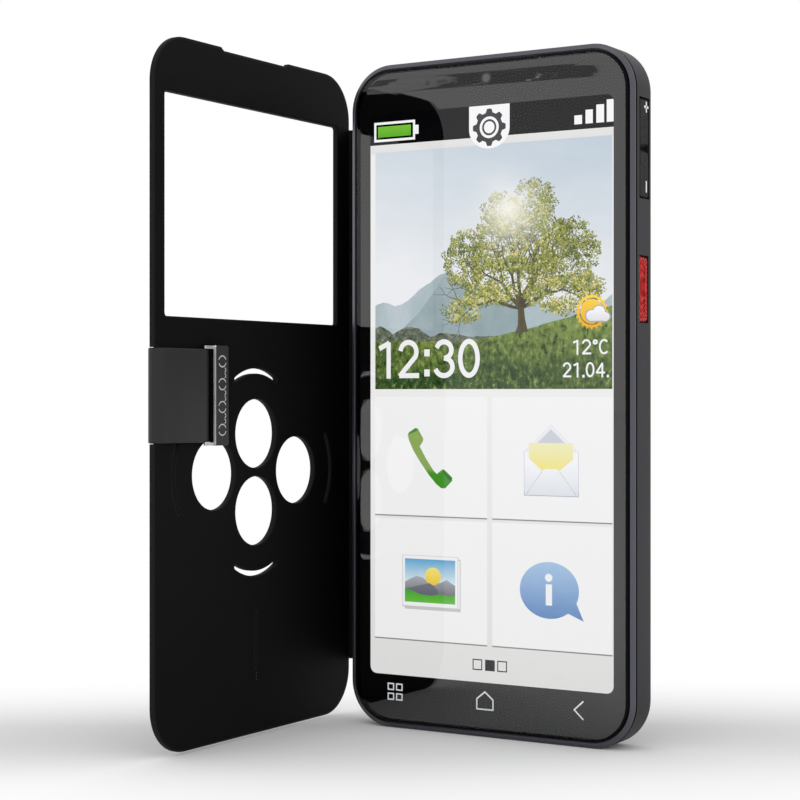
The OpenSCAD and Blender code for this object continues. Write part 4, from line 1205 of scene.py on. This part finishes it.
FINISH = {
    "display_panel": inner("panel_black", (12, 12, 14), 0.3, bump=0.02),
    "backlight_unit": inner("film_white", (226, 228, 230), 0.5, var=0.05, grain=900, bump=0.05),
    "mid_frame": inner("cast_frame", (134, 137, 142), 0.4, 0.9, grain=1600, bump=0.15, wear=0.2),
    "rear_housing": inner("inner_plastic", (52, 54, 58), 0.5, grain=1800, bump=0.15),
    "battery": inner("cell_wrap", (62, 64, 70), 0.45, var=0.08, grain=700),
    "main_board": inner("board_green", (24, 74, 52), 0.45, var=0.2, grain=1400, bump=0.2, fleck=0.5),
    "shield_cans": inner("tinned", (186, 188, 190), 0.3, 1.0, var=0.08),
    "sub_board": inner("board_green_b", (26, 78, 54), 0.45, var=0.2, grain=1400, bump=0.2, fleck=0.5),
    "board_flex": inner("flex_amber", (150, 92, 30), 0.4, var=0.15, grain=1300),
    "side_key_flex": inner("flex_amber_b", (150, 92, 30), 0.4, var=0.15, grain=1300),
    "dome_switches": inner("dome_steel", (180, 180, 182), 0.25, 1.0),
    "earpiece_speaker": inner("ear_unit", (38, 38, 42), 0.45, var=0.12, bump=0.2),
    "earpiece_mesh": M_MESH,
    "front_camera": inner("camera_body", (22, 22, 24), 0.4, var=0.12),
    "proximity_sensor": inner("sensor_body", (20, 20, 24), 0.35, var=0.12),
    "rear_camera": inner("camera_body_b", (20, 20, 23), 0.35, var=0.12),
    "rear_camera_ring": inner("ring_metal", (120, 120, 126), 0.28, 0.9, var=0.08, grain=2200,
        bump=0.08, wear=0.3),
    "rear_camera_window": clear_glass("window_glass", (0.55, 0.56, 0.6, 1)),
    "flash_lens": inner("flash_clear", (226, 222, 196), 0.25, var=0.06, grain=1200, bump=0.3,
        cells=1500, coat=0.6),
    "loudspeaker": inner("speaker_black", (26, 26, 28), 0.5, var=0.12, bump=0.25),
    "vibration_motor": inner("motor_steel", (170, 170, 174), 0.3, 1.0),
    "usb_c_port": inner("port_steel", (176, 177, 180), 0.28, 1.0, grain=1800, bump=0.08, wear=0.2),
    "headphone_jack": inner("jack_black", (22, 22, 24), 0.4, var=0.12),
    "battery_connector": inner("connector", (30, 30, 32), 0.45, var=0.12),
    "card_reader": inner("reader_steel", (176, 177, 180), 0.3, 1.0),
    "microphone": inner("mic_gold", (196, 160, 84), 0.3, 1.0),
    "housing_screws": inner("screw_steel", (70, 71, 76), 0.3, 1.0, var=0.12, grain=1700, bump=0.15,
        wear=0.3),
    "latch_plate": inner("latch_steel", (150, 151, 156), 0.35, 1.0, grain=1700),
    "spine_tape": inner("tape_black", (22, 22, 24), 0.6, var=0.15, grain=2400, bump=0.3, cells=2400),
    "strap_magnet": inner("magnet_nickel", (150, 150, 154), 0.3, 1.0, grain=1700),
}
SPARE = surface("hidden_part", (60, 60, 64), 0.5)
for name, o in NODES.items():
    o.data.materials.clear()
    o.data.materials.append(FINISH.get(name, SPARE))
    for p in o.data.polygons:
        p.use_smooth = True
        p.material_index = 0
    w = o.modifiers.new("edges", "EDGE_SPLIT")
    w.split_angle = radians(32)

# ---------------------------------------------------------------- stage
# the photo's camera: turn about the upright, place, lens and vertical shift
YAW = radians(31.42)
EYE = Vector((199.10, -366.48, 74.55)) * MM
LENS, SHIFT_Y = 85.73, -0.0082
look = Vector((-sin(YAW), cos(YAW), 0))
right = Vector((cos(YAW), sin(YAW), 0))


# the floor's tone runs along the view: a painted soft shadow in grey under the part, white beyond it
NEAR, FAR = 0.345, 0.495
# grey levels of the painted shadow band on the floor, from nearer the camera than the part to beyond it
PAINTED_SHADOW_TONES = ((0.0, 252), (0.16, 246), (0.3, 226), (0.42, 218), (0.56, 226), (0.72, 240), (0.86, 250),
        (1.0, 255))
floor_m, nt = new_mat("floor")
vec = coords(nt)
reach = add(nt, "VectorMath", {0: vec, 1: look}, operation="DOT_PRODUCT").outputs["Value"]
start = look.dot(EYE)
tone = remap(nt, reach, start + NEAR, start + FAR, 0.0, 1.0)
patches = remap(nt, noise(nt, vec, 9.0, 2.0), 0.3, 0.7, -0.02, 0.02)
ramp = add(nt, "ValToRGB", {0: maths(nt, "ADD", tone, patches)})
ramp.color_ramp.interpolation = "B_SPLINE"
fill_ramp(ramp, [(pos, srgb(level, level, level)) for pos, level in PAINTED_SHADOW_TONES])
show(nt, mixed(nt, remap(nt, tone, 0.55, 1.0, 0.0, 1.0),
        add(nt, "BsdfDiffuse", {"Color": ramp.outputs[0], "Roughness": 0.3}),
        add(nt, "Emission", {"Color": (1, 1, 1, 1)})))
FLOOR_Z = (min(0.0, SKIN_LO[2]) - 0.02) * MM
FLOOR_HALF = 6.0
me = bpy.data.meshes.new("floor")
me.from_pydata([(x * FLOOR_HALF, y * FLOOR_HALF, FLOOR_Z) for x,
        y in ((-1, -1), (1, -1), (1, 1), (-1, 1))], [], [(0, 1, 2, 3)])
me.materials.append(floor_m)
floor = into_scene("floor", me)

world = bpy.data.worlds.new("studio")
bpy.context.scene.world = world
world.use_nodes = True
background = world.node_tree.nodes["Background"]
background.inputs[0].default_value = (1, 1, 1, 1)
background.inputs[1].default_value = 1.0

# a weak lamp above and to the left, on the camera's side
centre = Vector((0, 0, MID_Z * MM))
lamp_at = centre - right * 0.5 - look * 0.5 + Vector((0, 0, 1.0))
lamp = bpy.data.lights.new("key_light", "AREA")
lamp.shape = "RECTANGLE"
lamp.size, lamp.size_y = 0.5, 0.5
lamp.energy = 1.0
key = into_scene("key_light", lamp)
key.location = lamp_at
key.rotation_euler = (centre - lamp_at).to_track_quat("-Z", "Y").to_euler()

lens_data = bpy.data.cameras.new("camera")
cam = into_scene("camera", lens_data)
lens_data.lens, lens_data.sensor_width, lens_data.shift_y = LENS, 36, SHIFT_Y
lens_data.clip_start, lens_data.clip_end = 0.01, 50
cam.location = EYE
cam.rotation_euler = (radians(90), 0, YAW)
bpy.context.scene.camera = cam
bpy.context.scene.view_settings.view_transform = "Standard"
